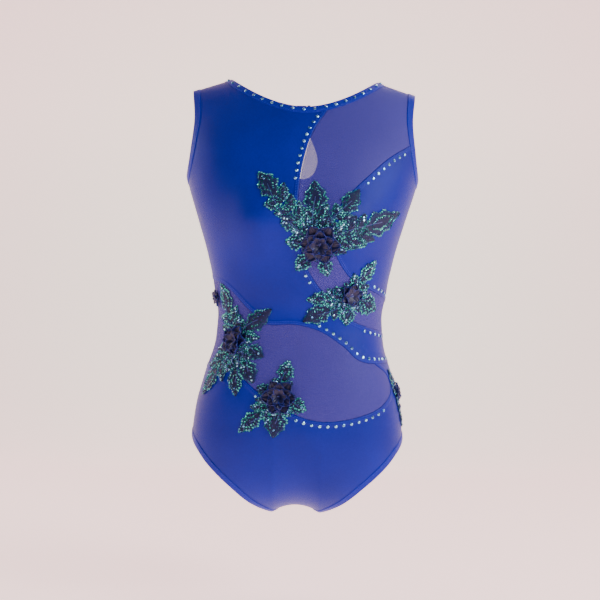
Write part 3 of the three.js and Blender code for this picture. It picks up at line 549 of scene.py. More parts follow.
def cut(sheet, measure, level, side=1):
    """Keeps what lies above (side 1) or below (side -1) a level of one measure."""
    sheet = split(sheet, measure, level)
    value = side * (sheet.table[:, COLUMN[measure]] - level)[sheet.faces]
    farthest = np.take_along_axis(value, np.abs(value).argmax(1)[:, None], 1)[:, 0]
    return trimmed(sheet, farthest > 0)


def trimmed(sheet, kept):
    """Only the kept faces, and the corners that they use."""
    used, faces = np.unique(sheet.faces[kept], return_inverse=True)
    return Sheet(sheet.table[used], faces.reshape(-1, 3))


def band(sheet, measure, low, high):
    """Keeps what lies between two levels of one measure."""
    return cut(cut(sheet, measure, low), measure, high, -1)


def clear_of(sheet, names, level):
    """Keeps what lies above one level of several measures."""
    for name in names:
        sheet = cut(sheet, name, level)
    return sheet


def column(sheet, measure):
    """One measure of all the sheet's corners."""
    return sheet.table[:, COLUMN[measure]]


# ------------------------------------------------------------------ closed surfaces
Surface = namedtuple("Surface", "points faces pattern tone")


def surface(points, faces, pattern=None, tone=0.5):
    """A mesh part; its tone tells a material how light or how green that part is, and on petals how much
    painted sheen they show.
    """
    pattern = np.zeros((len(points), 2)) if pattern is None else pattern
    return Surface(points, faces, pattern, np.broadcast_to(np.asarray(tone, float), len(points)))


def joined(parts):
    """Several mesh parts as one."""
    starts = np.cumsum([0] + [len(part.points) for part in parts[:-1]])
    faces = np.vstack([part.faces + start for part, start in zip(parts, starts)])
    points, pattern, tone = (
        np.concatenate([getattr(part, name) for part in parts]) for name in ("points", "pattern", "tone")
    )
    return Surface(points, faces, pattern, tone)


def rim_edges(faces):
    """The edges that only one face has, each in that face's direction."""
    edges = np.vstack([faces[:, [0, 1]], faces[:, [1, 2]], faces[:, [2, 0]]])
    keys = edges[:, 0].astype(np.int64) * (faces.max() + 1) + edges[:, 1]
    opposite = edges[:, 1].astype(np.int64) * (faces.max() + 1) + edges[:, 0]
    return edges[~np.isin(keys, opposite)]


def walls(edges, offset):
    """Two faces under each rim edge, down to the same corners of the layer below."""
    i, j = edges[:, 0], edges[:, 1]
    return np.vstack([np.stack([j, i, i + offset], 1), np.stack([j, i + offset, j + offset], 1)])


def shell(sheet, outer, inner):
    """A closed skin between two depths along the outward directions."""
    count = len(sheet.table)
    point, normal = sheet.table[:, POINT], unit(sheet.table[:, NORMAL])
    outer, inner = (np.broadcast_to(np.asarray(v, float), count)[:, None] for v in (outer, inner))
    points = np.vstack([point + normal * outer, point + normal * inner])
    faces = np.vstack([sheet.faces, sheet.faces[:, ::-1] + count, walls(rim_edges(sheet.faces), count)])
    return surface(points, faces, np.vstack([sheet.table[:, PATTERN]] * 2))


def smooth_step(value, low, high):
    """Rises smoothly from 0 at the low value to 1 at the high one."""
    t = np.clip((value - low) / (high - low), 0, 1)
    return t * t * (3 - 2 * t)


# ------------------------------------------------------------------ paths, tubes and stamps
Path = namedtuple("Path", "place along side normal")


def path_on(turn, z):
    """Places along a drawn line, with the directions along it, across it and outwards."""
    place, normal = on_cloth(turn, z), outward(turn, z)
    along = unit(np.gradient(place, axis=0))
    return Path(place, along, unit(np.cross(normal, along)), normal)


def line_path(line, shift=0.0):
    """A pattern line on the cloth, shifted sideways."""
    drawn = smooth_line(line)
    return shifted(drawn, shift)


def shifted(drawn, shift):
    """A drawn line on the cloth, moved sideways across it."""
    path = path_on(drawn[:, 0], drawn[:, 1])
    target = path.place + path.side * shift
    return path_on(*settle(drawn[:, 0], drawn[:, 1], target, path.side, path.along))


def resampled(path, shares):
    """The path at given shares of its point numbers."""
    at = np.clip(shares, 0, 1) * (len(path.place) - 1)
    low = np.minimum(at.astype(int), len(path.place) - 2)
    t = (at - low)[:, None]
    mixed = [(1 - t) * values[low] + t * values[low + 1] for values in path]
    return Path(mixed[0], *[unit(values) for values in mixed[1:]])


def spaced(path, pitch):
    """The path at even steps of about the pitch."""
    run = np.concatenate([[0], np.cumsum(np.linalg.norm(np.diff(path.place, axis=0), axis=1))])
    count = max(2, round(run[-1] / pitch))
    places = (np.arange(count) + 0.5) / count * run[-1]
    return resampled(path, np.interp(places, run, np.arange(len(run))) / (len(run) - 1))


def tube(place, a, b, radius_a, radius_b, sides=8, tone=0.5):
    """A closed tube: an oval of points round each place, from two directions, with end caps."""
    angle = np.arange(sides) * 2 * math.pi / sides
    radius_a, radius_b = (np.broadcast_to(np.asarray(r, float), len(place)) for r in (radius_a, radius_b))
    ring = (np.cos(angle)[None, :, None] * a[:, None] * radius_a[:, None, None]
            + np.sin(angle)[None, :, None] * b[:, None] * radius_b[:, None, None])
    points = place[:, None] + ring
    count = len(place)
    i, j = np.meshgrid(np.arange(count - 1), np.arange(sides), indexing="ij")
    p, q = (i * sides + j).ravel(), (i * sides + (j + 1) % sides).ravel()
    r, s = p + sides, q + sides
    start, end = count * sides, count * sides + 1
    first, second = np.arange(sides), (np.arange(sides) + 1) % sides
    last = (count - 1) * sides
    faces = np.vstack([
        np.stack([p, q, s], 1), np.stack([p, s, r], 1),
        np.stack([np.full(sides, start), second, first], 1),
        np.stack([np.full(sides, end), last + first, last + second], 1),
    ])
    points = np.vstack([points.reshape(-1, 3), place[:1], place[-1:]])
    run = np.concatenate([[0], np.cumsum(np.linalg.norm(np.diff(place, axis=0), axis=1))])
    pattern = np.stack([np.repeat(run, sides), np.tile(angle, count)], -1)
    pattern = np.vstack([pattern, [[0, 0], [run[-1], 0]]])
    return surface(points, faces, pattern, tone)


def stamped(base, place, right, up, normal, scale=1.0, tone=0.5):
    """Copies of one small shape, each in its own frame, size and tone."""
    scale = np.broadcast_to(np.asarray(scale, float), len(place))[:, None, None]
    points, faces = base
    x, y, z = points[None, :, :1], points[None, :, 1:2], points[None, :, 2:]
    moved = place[:, None] + scale * (x * right[:, None] + y * up[:, None] + z * normal[:, None])
    copies = np.arange(len(place))[:, None, None] * len(points) + faces
    tone = np.repeat(np.broadcast_to(np.asarray(tone, float), len(place)), len(points))
    return surface(moved.reshape(-1, 3), copies.reshape(-1, 3), None, tone)


def rings(outline, sides, turns=None):
    """A closed turned shape from [radius, height] rings, capped by its first and last heights."""
    outline = np.array(outline, float)
    turns = np.zeros(len(outline)) if turns is None else np.array(turns, float)
    angle = (np.arange(sides)[None] + turns[:, None]) * 2 * math.pi / sides
    radius, height = outline[:, :1], np.broadcast_to(outline[:, 1:], angle.shape)
    points = np.stack([radius * np.cos(angle), radius * np.sin(angle), height], -1).reshape(-1, 3)
    count = len(outline)
    i, j = np.meshgrid(np.arange(count - 1), np.arange(sides), indexing="ij")
    p, q = (i * sides + j).ravel(), (i * sides + (j + 1) % sides).ravel()
    r, s = p + sides, q + sides
    first, second = np.arange(sides), (np.arange(sides) + 1) % sides
    low, high = len(points), len(points) + 1
    last = (count - 1) * sides
    faces = np.vstack([
        np.stack([p, q, s], 1), np.stack([p, s, r], 1),
        np.stack([np.full(sides, low), second, first], 1),
        np.stack([np.full(sides, high), last + first, last + second], 1),
    ])
    poles = [[0, 0, outline[0, 1]], [0, 0, outline[-1, 1]]]
    return np.vstack([points, poles]), faces


def turned_about(axis, directions, angle):
    """Directions turned about an axis, each by its own angle (the rotation formula)."""
    angle = np.broadcast_to(np.asarray(angle, float), len(directions))[:, None]
    across = np.cross(axis, directions)
    level = axis * dot(axis, directions)[:, None]
    return directions * np.cos(angle) + across * np.sin(angle) + level * (1 - np.cos(angle))


# ------------------------------------------------------------------ making objects
def make_piece(name, part, material, replaces=(), body="garment", faceted=False):
    """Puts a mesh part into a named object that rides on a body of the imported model."""
    mesh = bpy.data.meshes.new(name)
    corners = part.faces.astype(np.int32).ravel()
    mesh.vertices.add(len(part.points))
    mesh.vertices.foreach_set("co", (part.points * MM).astype(np.float32).ravel())
    mesh.loops.add(len(corners))
    mesh.loops.foreach_set("vertex_index", corners)
    mesh.polygons.add(len(part.faces))
    mesh.polygons.foreach_set("loop_start", np.arange(0, len(corners), 3, dtype=np.int32))
    mesh.polygons.foreach_set("use_smooth", np.full(len(part.faces), not faceted))
    mesh.update(calc_edges=True)
    layer = mesh.uv_layers.new(name="pattern")
    layer.data.foreach_set("uv", (part.pattern[corners] * MM).astype(np.float32).ravel())
    tone = mesh.attributes.new("tone", "FLOAT", "POINT")
    tone.data.foreach_set("value", part.tone.astype(np.float32))
    mesh.materials.append(material)
    piece = bpy.data.objects.new(name, mesh)
    bpy.context.scene.collection.objects.link(piece)
    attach(piece, body)
    if replaces:
        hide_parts(*replaces)
    return piece


# ------------------------------------------------------------------ shader node groups
def new_group(name, inputs, outputs):
    """An empty node group with float, vector or colour sockets."""
    tree = bpy.data.node_groups.new(name, "ShaderNodeTree")
    for socket, kind, default in inputs:
        made = tree.interface.new_socket(socket, in_out="INPUT", socket_type=f"NodeSocket{kind}")
        if default is not None:
            made.default_value = default
    for socket, kind in outputs:
        tree.interface.new_socket(socket, in_out="OUTPUT", socket_type=f"NodeSocket{kind}")
    return tree, tree.nodes.new("NodeGroupInput"), tree.nodes.new("NodeGroupOutput")


class Wiring:
    """Short helpers to add and join the nodes of one tree."""

    def __init__(self, tree):
        """Keeps the tree that the nodes go into."""
        self.tree = tree

    def node(self, kind, inputs=None, **settings):
        """A new shader node with its inputs set or linked."""
        made = self.tree.nodes.new(f"ShaderNode{kind}")
        for name, value in settings.items():
            setattr(made, name, value)
        for name, value in (inputs or {}).items():
            self.put(made.inputs[name], value)
        return made

    def put(self, socket, value):
        """Links a socket to another, or sets its value."""
        if isinstance(value, bpy.types.NodeSocket):
            self.tree.links.new(value, socket)
        else:
            socket.default_value = value

    def math(self, operation, *values):
        """The result of one sum on values or sockets."""
        return self.node("Math", dict(enumerate(values)), operation=operation).outputs[0]

    def blend(self, share, first, second):
        """A colour between two, by a share."""
        mix = self.node("Mix", data_type="RGBA")
        self.put(mix.inputs["Factor"], share)
        self.put(mix.inputs[6], first)
        self.put(mix.inputs[7], second)
        return mix.outputs[2]


def knit_group():
    """Rows and columns of loops: the columns are a sine, and the rows lean left and right of them. Its
    tone is the loop height, so colours fed by it carry painted shade in the hollows between loops.
    """
    tree, ins, outs = new_group(
        "Knit",
        [("Vector", "Vector", None), ("Loops", "Float", 1400.0)],
        [("Height", "Float"), ("Tone", "Float")],
    )
    wire = Wiring(tree)
    place = wire.node("SeparateXYZ", {0: ins.outputs["Vector"]})
    across = wire.math("MULTIPLY", place.outputs["X"], ins.outputs["Loops"])
    along = wire.math("MULTIPLY", place.outputs["Y"], ins.outputs["Loops"])
    column_wave = wire.math("SINE", wire.math("MULTIPLY", across, math.pi))
    lean = wire.math("ABSOLUTE", column_wave)
    row_wave = wire.math("SINE", wire.math("MULTIPLY", wire.math("ADD", along, lean), math.pi))
    height = wire.math("MULTIPLY", lean, wire.math("ABSOLUTE", row_wave))
    tree.links.new(height, outs.inputs["Height"])
    # Tone: painted shade, darker in the loop hollows and paler on the loop tops.
    tree.links.new(wire.math("MULTIPLY_ADD", height, 0.5, 0.5), outs.inputs["Tone"])
    return tree


def uneven_group():
    """Slow and fine noise together, for the small differences that real cloth has."""
    tree, ins, outs = new_group(
        "Uneven", [("Vector", "Vector", None), ("Scale", "Float", 18.0)], [("Tone", "Float")]
    )
    wire = Wiring(tree)
    vector, scale = ins.outputs["Vector"], ins.outputs["Scale"]
    slow = wire.node("TexNoise", {"Vector": vector, "Scale": scale, "Detail": 3.0})
    fine_scale = wire.math("MULTIPLY", scale, 28.0)
    fine = wire.node("TexNoise", {"Vector": vector, "Scale": fine_scale, "Detail": 2.0})
    tone = wire.math("MULTIPLY_ADD", fine.outputs[0], 0.35, wire.math("MULTIPLY", slow.outputs[0], 0.65))
    tree.links.new(tone, outs.inputs["Tone"])
    return tree


def net_group():
    """Holes in staggered rows: where two slanted sines are both small there is a thread."""
    tree, ins, outs = new_group(
        "Net",
        [("Vector", "Vector", None), ("Threads", "Float", 900.0)],
        [("Cover", "Float"), ("Height", "Float")],
    )
    wire = Wiring(tree)
    place = wire.node("SeparateXYZ", {0: ins.outputs["Vector"]})
    across = wire.math("MULTIPLY", place.outputs["X"], ins.outputs["Threads"])
    along = wire.math("MULTIPLY", place.outputs["Y"], ins.outputs["Threads"])
    waves = []
    for slant in ("ADD", "SUBTRACT"):
        phase = wire.math("MULTIPLY", wire.math(slant, across, along), math.pi)
        waves.append(wire.math("ABSOLUTE", wire.math("SINE", phase)))
    thread = wire.math("SUBTRACT", 1.0, wire.math("MINIMUM", *waves))
    reach = {"From Min": 0.35, "From Max": 0.75, "To Min": 0.42, "To Max": 1.0}
    ramp = wire.node("MapRange", {"Value": thread, **reach})
    tree.links.new(ramp.outputs[0], outs.inputs["Cover"])
    tree.links.new(thread, outs.inputs["Height"])
    return tree


def twist_group():
    """Slanted stripes along a thread or cord, from its length and the angle round it."""
    tree, ins, outs = new_group(
        "Twist", [("Vector", "Vector", None), ("Twists", "Float", 1500.0)], [("Height", "Float")]
    )
    wire = Wiring(tree)
    place = wire.node("SeparateXYZ", {0: ins.outputs["Vector"]})
    turns = wire.math("MULTIPLY", ins.outputs["Twists"], 2 * math.pi)
    along = wire.math("MULTIPLY", place.outputs["X"], turns)
    around = wire.math("DIVIDE", place.outputs["Y"], MM)
    wave = wire.math("SINE", wire.math("ADD", along, around))
    tree.links.new(wire.math("MULTIPLY_ADD", wave, 0.5, 0.5), outs.inputs["Height"])
    return tree


GROUPS = {"Knit": knit_group, "Uneven": uneven_group, "Net": net_group, "Twist": twist_group}


# ------------------------------------------------------------------ materials
class Finish:
    """A material with one Principled shader, and helpers to feed it.

    Its name starts with "fine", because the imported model's own materials carry the slot names.
    """

    def __init__(self, name, base, roughness, **sockets):
        """Makes the material; an underscore in a socket's name stands for a space."""
        self.material = bpy.data.materials.new(f"fine {name}")
        self.material.use_nodes = True
        self.wire = Wiring(self.material.node_tree)
        self.shader = self.material.node_tree.nodes["Principled BSDF"]
        self.set(**{"Base Color": base, "Roughness": roughness})
        self.set(**{name.replace("_", " "): value for name, value in sockets.items()})

    def set(self, **values):
        """Sets or links sockets of the shader."""
        for name, value in values.items():
            self.wire.put(self.shader.inputs[name], value)

    def group(self, name, vector, **inputs):
        """Adds a shared node group, made when it is first asked for."""
        tree = bpy.data.node_groups.get(name) or GROUPS[name]()
        made = self.material.node_tree.nodes.new("ShaderNodeGroup")
        made.node_tree = tree
        self.wire.put(made.inputs["Vector"], vector)
        for socket, value in inputs.items():
            made.inputs[socket].default_value = value
        return made.outputs

    def pattern(self):
        """The cloth's own pattern coordinates."""
        return self.wire.node("UVMap", uv_map="pattern").outputs[0]

    def place(self):
        """The place in the object's own space."""
        return self.wire.node("TexCoord").outputs["Object"]

    def tone(self):
        """The mesh's tone, from 0 to 1."""
        return self.wire.node("Attribute", attribute_name="tone").outputs["Fac"]

    def bump(self, height, strength, distance):
        """Feeds a height into the shader's normal."""
        made = self.wire.node("Bump", {"Strength": strength, "Distance": distance, "Height": height})
        self.set(Normal=made.outputs[0])


def paler(base, factor):
    """A colour times a factor, kept within 1."""
    return (*(min(1.0, factor * value) for value in base[:3]), 1)


def knit_finish(name, dark, light, loops, roughness=0.36, sheen=0.06):
    """Stretch knit: fine loops, a soft sheen and slightly uneven colour, with painted shade between the
    loops and a painted highlight on their tops.
    """
    finish = Finish(name, dark, roughness, Sheen_Weight=sheen, Sheen_Roughness=0.45,
                    Sheen_Tint=(0.3, 0.4, 1.0, 1), Specular_IOR_Level=0.16)
    knit = finish.group("Knit", finish.pattern(), Loops=loops)
    uneven = finish.group("Uneven", finish.place(), Scale=14.0)
    # Paler where the loops stand high and the noise is high: painted shade between the loops, and random
    # mottle.
    share = finish.wire.math("MULTIPLY", knit["Tone"], uneven["Tone"])
    finish.set(**{"Base Color": finish.wire.blend(finish.wire.math("MULTIPLY", share, 1.6), dark, light)})
    spread = finish.wire.node(
        "MapRange", {"Value": uneven["Tone"], "To Min": roughness - 0.06, "To Max": roughness + 0.1}
    )
    finish.set(Roughness=spread.outputs[0])
    finish.bump(finish.wire.math("ADD", knit["Height"], uneven["Tone"]), 0.35, 0.00018)
    return finish.material


def net_finish():
    """See-through net: threads with holes between them, lighter in random patches."""
    finish = Finish("net", tint("net"), 0.55, Specular_IOR_Level=0.2, Sheen_Weight=0.08,
                    Sheen_Roughness=0.5, Sheen_Tint=(0.6, 0.6, 1.0, 1))
    net = finish.group("Net", finish.pattern(), Threads=760.0)
    uneven = finish.group("Uneven", finish.place(), Scale=9.0)
    mixed = finish.wire.blend(uneven["Tone"], tint("net"), paler(tint("net"), 1.35))
    finish.set(**{"Base Color": mixed, "Alpha": net["Cover"]})
    finish.bump(net["Height"], 0.3, 0.00015)
    return finish.material


def thread_finish(name, base, twists, roughness=0.5):
    """Twisted thread or cord, paler on the ridges of its twist: painted shade in the grooves."""
    finish = Finish(name, base, roughness, Sheen_Weight=0.1, Sheen_Roughness=0.4)
    twist = finish.group("Twist", finish.pattern(), Twists=twists)
    # Paler where the twist stands high: painted shade in the grooves of the twist.
    finish.set(**{"Base Color": finish.wire.blend(twist["Height"], base, paler(base, 1.5))})
    finish.bump(twist["Height"], 0.5, 0.0001)
    return finish.material


def lace_finish():
    """Embroidered leaf: satin stitches that slant away from the midrib."""
    finish = Finish("lace", tint("lace"), 0.5, Specular_IOR_Level=0.25, Sheen_Weight=0.08,
                    Sheen_Roughness=0.35, Sheen_Tint=(0.3, 0.45, 1.0, 1))
    knit = finish.group("Knit", finish.pattern(), Loops=900.0)
    # Paler on the stitch tops, painted shade between the stitches, and bluer towards the leaf edge by the
    # mesh's tone.
    share = finish.wire.math("MULTIPLY", knit["Tone"], finish.tone())
    finish.set(**{"Base Color": finish.wire.blend(share, tint("lace"), tint("cord"))})
    finish.bump(knit["Height"], 0.6, 0.0003)
    return finish.material


def shiny_finish(name, dark, light, roughness, metallic, coat=0.6):
    """Sequins and crystals: a bright film whose colour differs from one to the next."""
    finish = Finish(name, dark, roughness, Metallic=metallic, Coat_Weight=coat, Coat_Roughness=0.08)
    finish.set(**{"Base Color": finish.wire.blend(finish.tone(), dark, light)})
    uneven = finish.group("Uneven", finish.place(), Scale=240.0)
    finish.bump(uneven["Tone"], 0.15, 0.0002)
    return finish.material


def organza_finish():
    """Crisp thin cloth, darkest in the middle of each petal and bluer at its edge: the blue edge is a
    painted sheen, and the loops carry painted shade.
    """
    finish = Finish("organza", tint("organza"), 0.38, Specular_IOR_Level=0.45, Sheen_Weight=0.12,
                    Sheen_Roughness=0.3, Sheen_Tint=(0.25, 0.35, 1.0, 1))
    knit = finish.group("Knit", finish.pattern(), Loops=1600.0)
    # Painted sheen on the petal edges, and painted shade between the loops.
    share = finish.wire.math("MULTIPLY", finish.tone(), knit["Tone"])
    finish.set(**{"Base Color": finish.wire.blend(share, tint("organza"), tint("organza_edge_sheen"))})
    finish.bump(knit["Height"], 0.25, 0.0001)
    return finish.material


def bead_finish(name, base):
    """Glossy bead with faint clouding."""
    finish = Finish(name, base, 0.18, Coat_Weight=0.8, Coat_Roughness=0.05)
    uneven = finish.group("Uneven", finish.place(), Scale=160.0)
    finish.set(**{"Base Color": finish.wire.blend(uneven["Tone"], base, paler(base, 1.8))})
    return finish.material


def wall_finish(centre):
    """A plain pale wall, cream in the middle and pink towards its edges."""
    finish = Finish("wall", tint("wall_centre"), 0.9, Emission_Strength=1.5)
    apart = finish.wire.node("VectorMath", {0: finish.place(), 1: centre}, operation="DISTANCE")
    away = apart.outputs["Value"]
    share = finish.wire.node("MapRange", {"Value": away, "From Min": 0.35, "From Max": 1.3})
    mixed = finish.wire.blend(share.outputs[0], tint("wall_centre"), tint("wall_edge"))
    finish.set(**{"Base Color": mixed, "Emission Color": mixed})
    return finish.material


MAKERS = {
    "cloth": lambda: knit_finish("cloth", tint("cloth"), tint("cloth_loop_highlight_and_mottle"), 1250.0),
    "binding": lambda: knit_finish("binding", tint("binding"), tint("cloth_loop_highlight_and_mottle"), 1100.0, 0.36, 0.12),
    "net": net_finish,
    "elastic": lambda: knit_finish("elastic", tint("elastic"), (0.8, 0.78, 0.74, 1), 1500.0, 0.7, 0.1),
    "overlock": lambda: thread_finish("overlock", tint("overlock"), 900.0, 0.6),
    "tape": lambda: knit_finish("tape", tint("overlock"), tint("cloth"), 1000.0, 0.6, 0.2),
    "thread": lambda: thread_finish("thread", tint("thread"), 1800.0),
    "label": lambda: knit_finish("label", tint("label"), (0.9, 0.89, 0.86, 1), 2400.0, 0.7, 0.05),
    "lace": lace_finish,
    "cord": lambda: thread_finish("cord", tint("cord"), 1200.0, 0.4),
    "sequin": lambda: shiny_finish("sequin", tint("sequin_other"), tint("sequin"), 0.22, 0.75),
    "crystal": lambda: shiny_finish("crystal", tint("crystal"), (0.30, 0.72, 0.90, 1), 0.08, 0.9, 1.0),
    "organza": organza_finish,
    "bead": lambda: bead_finish("bead", tint("bead")),
    "button": lambda: bead_finish("button", tint("button")),
    "loop": lambda: thread_finish("loop", tint("binding"), 700.0, 0.45),
}


def material(name):
    """A finish by name, made when it is first asked for."""
    return bpy.data.materials.get(f"fine {name}") or MAKERS[name]()


# ------------------------------------------------------------------ cloth pieces
# All in millimetres.  Lifts are heights off the middle of the cloth, and below 0 they are inside it.
GAP = 0.15
TURNED_HEIGHT = 0.42
FOLD_ROUND = 1.4
BINDING_HALF = 1.15
SLOT_START = 1.1
SLOT_HALF = 0.5
ELASTIC_START = 1.2
ELASTIC_HALF = 0.4
_cloth = {}


def cloth():
    """The body cloth, made once."""
    if "whole" not in _cloth:
        _cloth["whole"] = make_cloth()
    return _cloth["whole"]


def panel_edge():
    """How far inside a binding the panels end."""
    return FOLD_ROUND + size("elastic_width")


def turned_height(sheet, names):
    """Extra height over the turned edges: full up to the fold's width, and rounded at the edge."""
    if not names:
        return 0
    near = np.min([np.abs(column(sheet, name)) for name in names], axis=0)
    width = size("turned_edge")
    return TURNED_HEIGHT * smooth_step(near, GAP, GAP + 0.9) * (1 - smooth_step(near, width, width + 1.0))


def relief(sheet, names):
    """Adds the corners that a turned edge's shape needs."""
    width = size("turned_edge")
    for name in names:
        side = 1 if np.median(column(sheet, name)) > 0 else -1
        for level in (0.45, 0.8, 1.1, width, width + 0.5, width + 1.0):
            sheet = split(sheet, name, side * level)
    return sheet


# Worn area over cut area, a guess: each panel's declared area is its worn area divided by it.
PANELS = {
    "front_bodice_panel": ("cloth", ["bodice", "above_hem"], (0.31, 0.36)),
    "shoulder_net_panel": ("net", [], (0.22, 0.32)),
    "side_bodice_panel": ("cloth", ["side_panel"], (0.15, 0.21)),
    "midriff_net_panel": ("net", [], (0.26, 0.17)),
    "front_brief_panel": ("cloth", ["brief"], (0.30, 0.20)),
    "back_left_panel": ("cloth", [], (0.21, 0.56)),
    "back_right_panel": ("cloth", [], (0.21, 0.56)),
}


def add_panel(name, sheet, edges, finish):
    """One cut panel, held stretched by the body's shape."""
    sheet = relief(sheet, edges)
    half = size("net_thickness" if finish == "net" else "cloth_thickness") / 2
    part = shell(sheet, half + turned_height(sheet, edges), -half)
    piece = make_piece(name.replace("_panel", ""), part, material(finish), [name])
    return piece


def panel_sheets():
    """Every panel's sheet: what lies on its side of each seam, inside the bindings."""
    inner = clear_of(cloth(), EDGES, panel_edge())
    face, rear = cut(inner, "y", -GAP, -1), cut(inner, "y", GAP)
    above, below = cut(face, "above_hem", GAP), cut(face, "above_hem", -GAP, -1)
    return {
        "front_bodice_panel": cut(above, "bodice", GAP),
        "shoulder_net_panel": cut(cut(above, "bodice", -GAP, -1), "side_panel", -GAP, -1),
        "side_bodice_panel": cut(above, "side_panel", GAP),
        "midriff_net_panel": cut(below, "brief", -GAP, -1),
        "front_brief_panel": cut(below, "brief", GAP),
        "back_left_panel": cut(rear, "x", GAP),
        "back_right_panel": cut(rear, "x", -GAP, -1),
    }


def binding_height(distance, width, thickness):
    """Half height across a folded strip: a round fold, level, then a soft drop at its stitched edge."""
    fold = np.sqrt(1 - (1 - np.clip(distance / FOLD_ROUND, 0, 1)) ** 2)
    drop = 1 - 0.35 * smooth_step(distance, width - 1.0, width)
    dip = 0.16 * np.exp(-(((distance - (width - 2.0)) / 0.7) ** 2))
    return 0.02 + thickness * (fold * drop - dip)


def add_binding(name, measure, width, within):
    """A folded strip round an opening, with a slot for the elastic."""
    strip = band(within, measure, 0, width)
    from_fold = (0.15, 0.45, 0.9, FOLD_ROUND)
    from_edge = (3.2, 2.6, 2, 1.4, 0.9, 0.4)
    for level in (*from_fold, *(width - inset for inset in from_edge)):
        strip = split(strip, measure, level)
    height = binding_height(column(strip, measure), width, BINDING_HALF)
    part = folded_strip(strip, measure, height)
    piece = make_piece(f"{name}_strip", part, material("binding"), [name])


def folded_strip(strip, measure, height):
    """The folded strip's outer skin and the walls of its slot."""
    table = np.hstack([strip.table, height[:, None]])
    marked = split(Sheet(table, strip.faces), measure, SLOT_START)
    outside = shell(marked, marked.table[:, -1], -marked.table[:, -1])
    slot = cut(marked, measure, SLOT_START)
    lining = shell(slot, SLOT_HALF, -SLOT_HALF)
    return joined([outside, lining._replace(faces=lining.faces[:, ::-1])])


def add_elastic(name, measure, within):
    """The elastic strip that lies in a binding's slot."""
    strip = band(within, measure, ELASTIC_START, ELASTIC_START + size("elastic_width"))
    part = shell(strip, ELASTIC_HALF, -ELASTIC_HALF)
    make_piece(f"{name}_strip", part, material("elastic"), [name])


def loop_around(measure, level, within, centre, axes):
    """The line on the cloth at one distance from an opening, in order of angle round its centre."""
    ring = split(within, measure, level)
    on_level = np.abs(column(ring, measure) - level) < 1e-6
    table = ring.table[on_level]
    offset = table[:, POINT] - centre
    first, second = np.array(axes, float)
    angle = np.arctan2(offset @ second, offset @ first) % (2 * math.pi)
    table = table[np.argsort(angle)]
    place = table[:, POINT]
    apart = np.concatenate([[True], np.linalg.norm(np.diff(place, axis=0), axis=1) > 0.05])
    place, normal = place[apart], unit(table[apart, NORMAL])
    along = unit(np.gradient(place, axis=0))
    return Path(place, along, unit(np.cross(normal, along)), normal)


# ------------------------------------------------------------------ stitches
def stitch_shape():
    """A short capsule that lies on the cloth."""
    along = np.array([-0.5, -0.36, 0.0, 0.36, 0.5])
    radius = np.array([0.35, 0.85, 1.0, 0.85, 0.35])
    place = np.stack([along, np.zeros(5), np.zeros(5)], -1)
    right = np.tile([0.0, 1.0, 0.0], (5, 1))
    up = np.tile([0.0, 0.0, 1.0], (5, 1))
    part = tube(place, right, up, radius * 0.09, radius * 0.075, sides=6)
    return part.points, part.faces


def stitched(path, lift, shift=0.0):
    """A row of topstitches along a path."""
    pitch = size("stitch_length") + size("stitch_gap")
    spots = spaced(path, pitch)
    place = spots.place + spots.side * shift + spots.normal * lift
    return stamped(stitch_shape(), place, spots.along, spots.side, spots.normal, size("stitch_length"))


def trimmed_path(path, clear):
    """The longest run of a path whose points pass a test."""
    kept = np.flatnonzero(clear)
    runs = np.split(kept, np.flatnonzero(np.diff(kept) > 1) + 1)
    longest = max(runs, key=len)
    return Path(*[values[longest] for values in path])


def edge_path(line, shift, margin):
    """A seam line shifted sideways, as far as it is clear of the bindings."""
    drawn = smooth_line(line, 240)
    path = path_on(drawn[:, 0], drawn[:, 1])
    target = path.place + path.side * shift
    turn, z = settle(drawn[:, 0], drawn[:, 1], target, path.side, path.along)
    moved = path_on(turn, z)
    far = measure_all(turn, z, moved.place)
    clear = np.min([far[name] for name in EDGES[:5]], axis=0) > margin
    return trimmed_path(moved, clear)


# ------------------------------------------------------------------ small ornaments
# Outlines of shapes one unit wide: distance from the middle, and height.
GEM_OUTLINE = [[0.40, 0.0], [0.5, 0.07], [0.5, 0.13], [0.40, 0.27], [0.24, 0.36]]
GEM_TURNS = [0, 0, 0, 0.5, 0]
SEQUIN_OUTLINE = [[0.36, 0.02], [0.5, 0.11], [0.5, 0.135], [0.32, 0.07], [0.09, 0.045]]
STONE_LIFT = 0.35
NECK_STONE_LIFT = 1.2


def gem_shape():
    """A round rhinestone, one wide: a flat table, two rings of facets, a girdle and a base."""
    return rings(GEM_OUTLINE, 8, GEM_TURNS)


def sequin_shape():
    """A shallow cup, one wide, with a small dimple in the middle."""
    return rings(SEQUIN_OUTLINE, 7)


def bead_shape(sides=8):
    """A small ball, one wide, that stands on the cloth."""
    latitude = np.linspace(-1.25, 1.25, 5)
    return rings(np.stack([0.5 * np.cos(latitude), 0.5 + 0.5 * np.sin(latitude)], -1), sides)


def scattered(path, pitch, seed):
    """Even spots on a path, with directions turned at random and random tones."""
    random = np.random.default_rng(seed)
    spots = spaced(path, pitch)
    angle = random.uniform(0, 2 * math.pi, len(spots.place))
    right = turned_about(spots.normal, spots.along, angle)
    lean = random.normal(0, 0.10, (len(spots.place), 2))
    normal = unit(spots.normal + spots.along * lean[:, :1] + spots.side * lean[:, 1:])
    right = unit(right - normal * dot(right, normal)[:, None])
    return spots.place, right, np.cross(normal, right), normal, random.uniform(0, 1, len(spots.place))


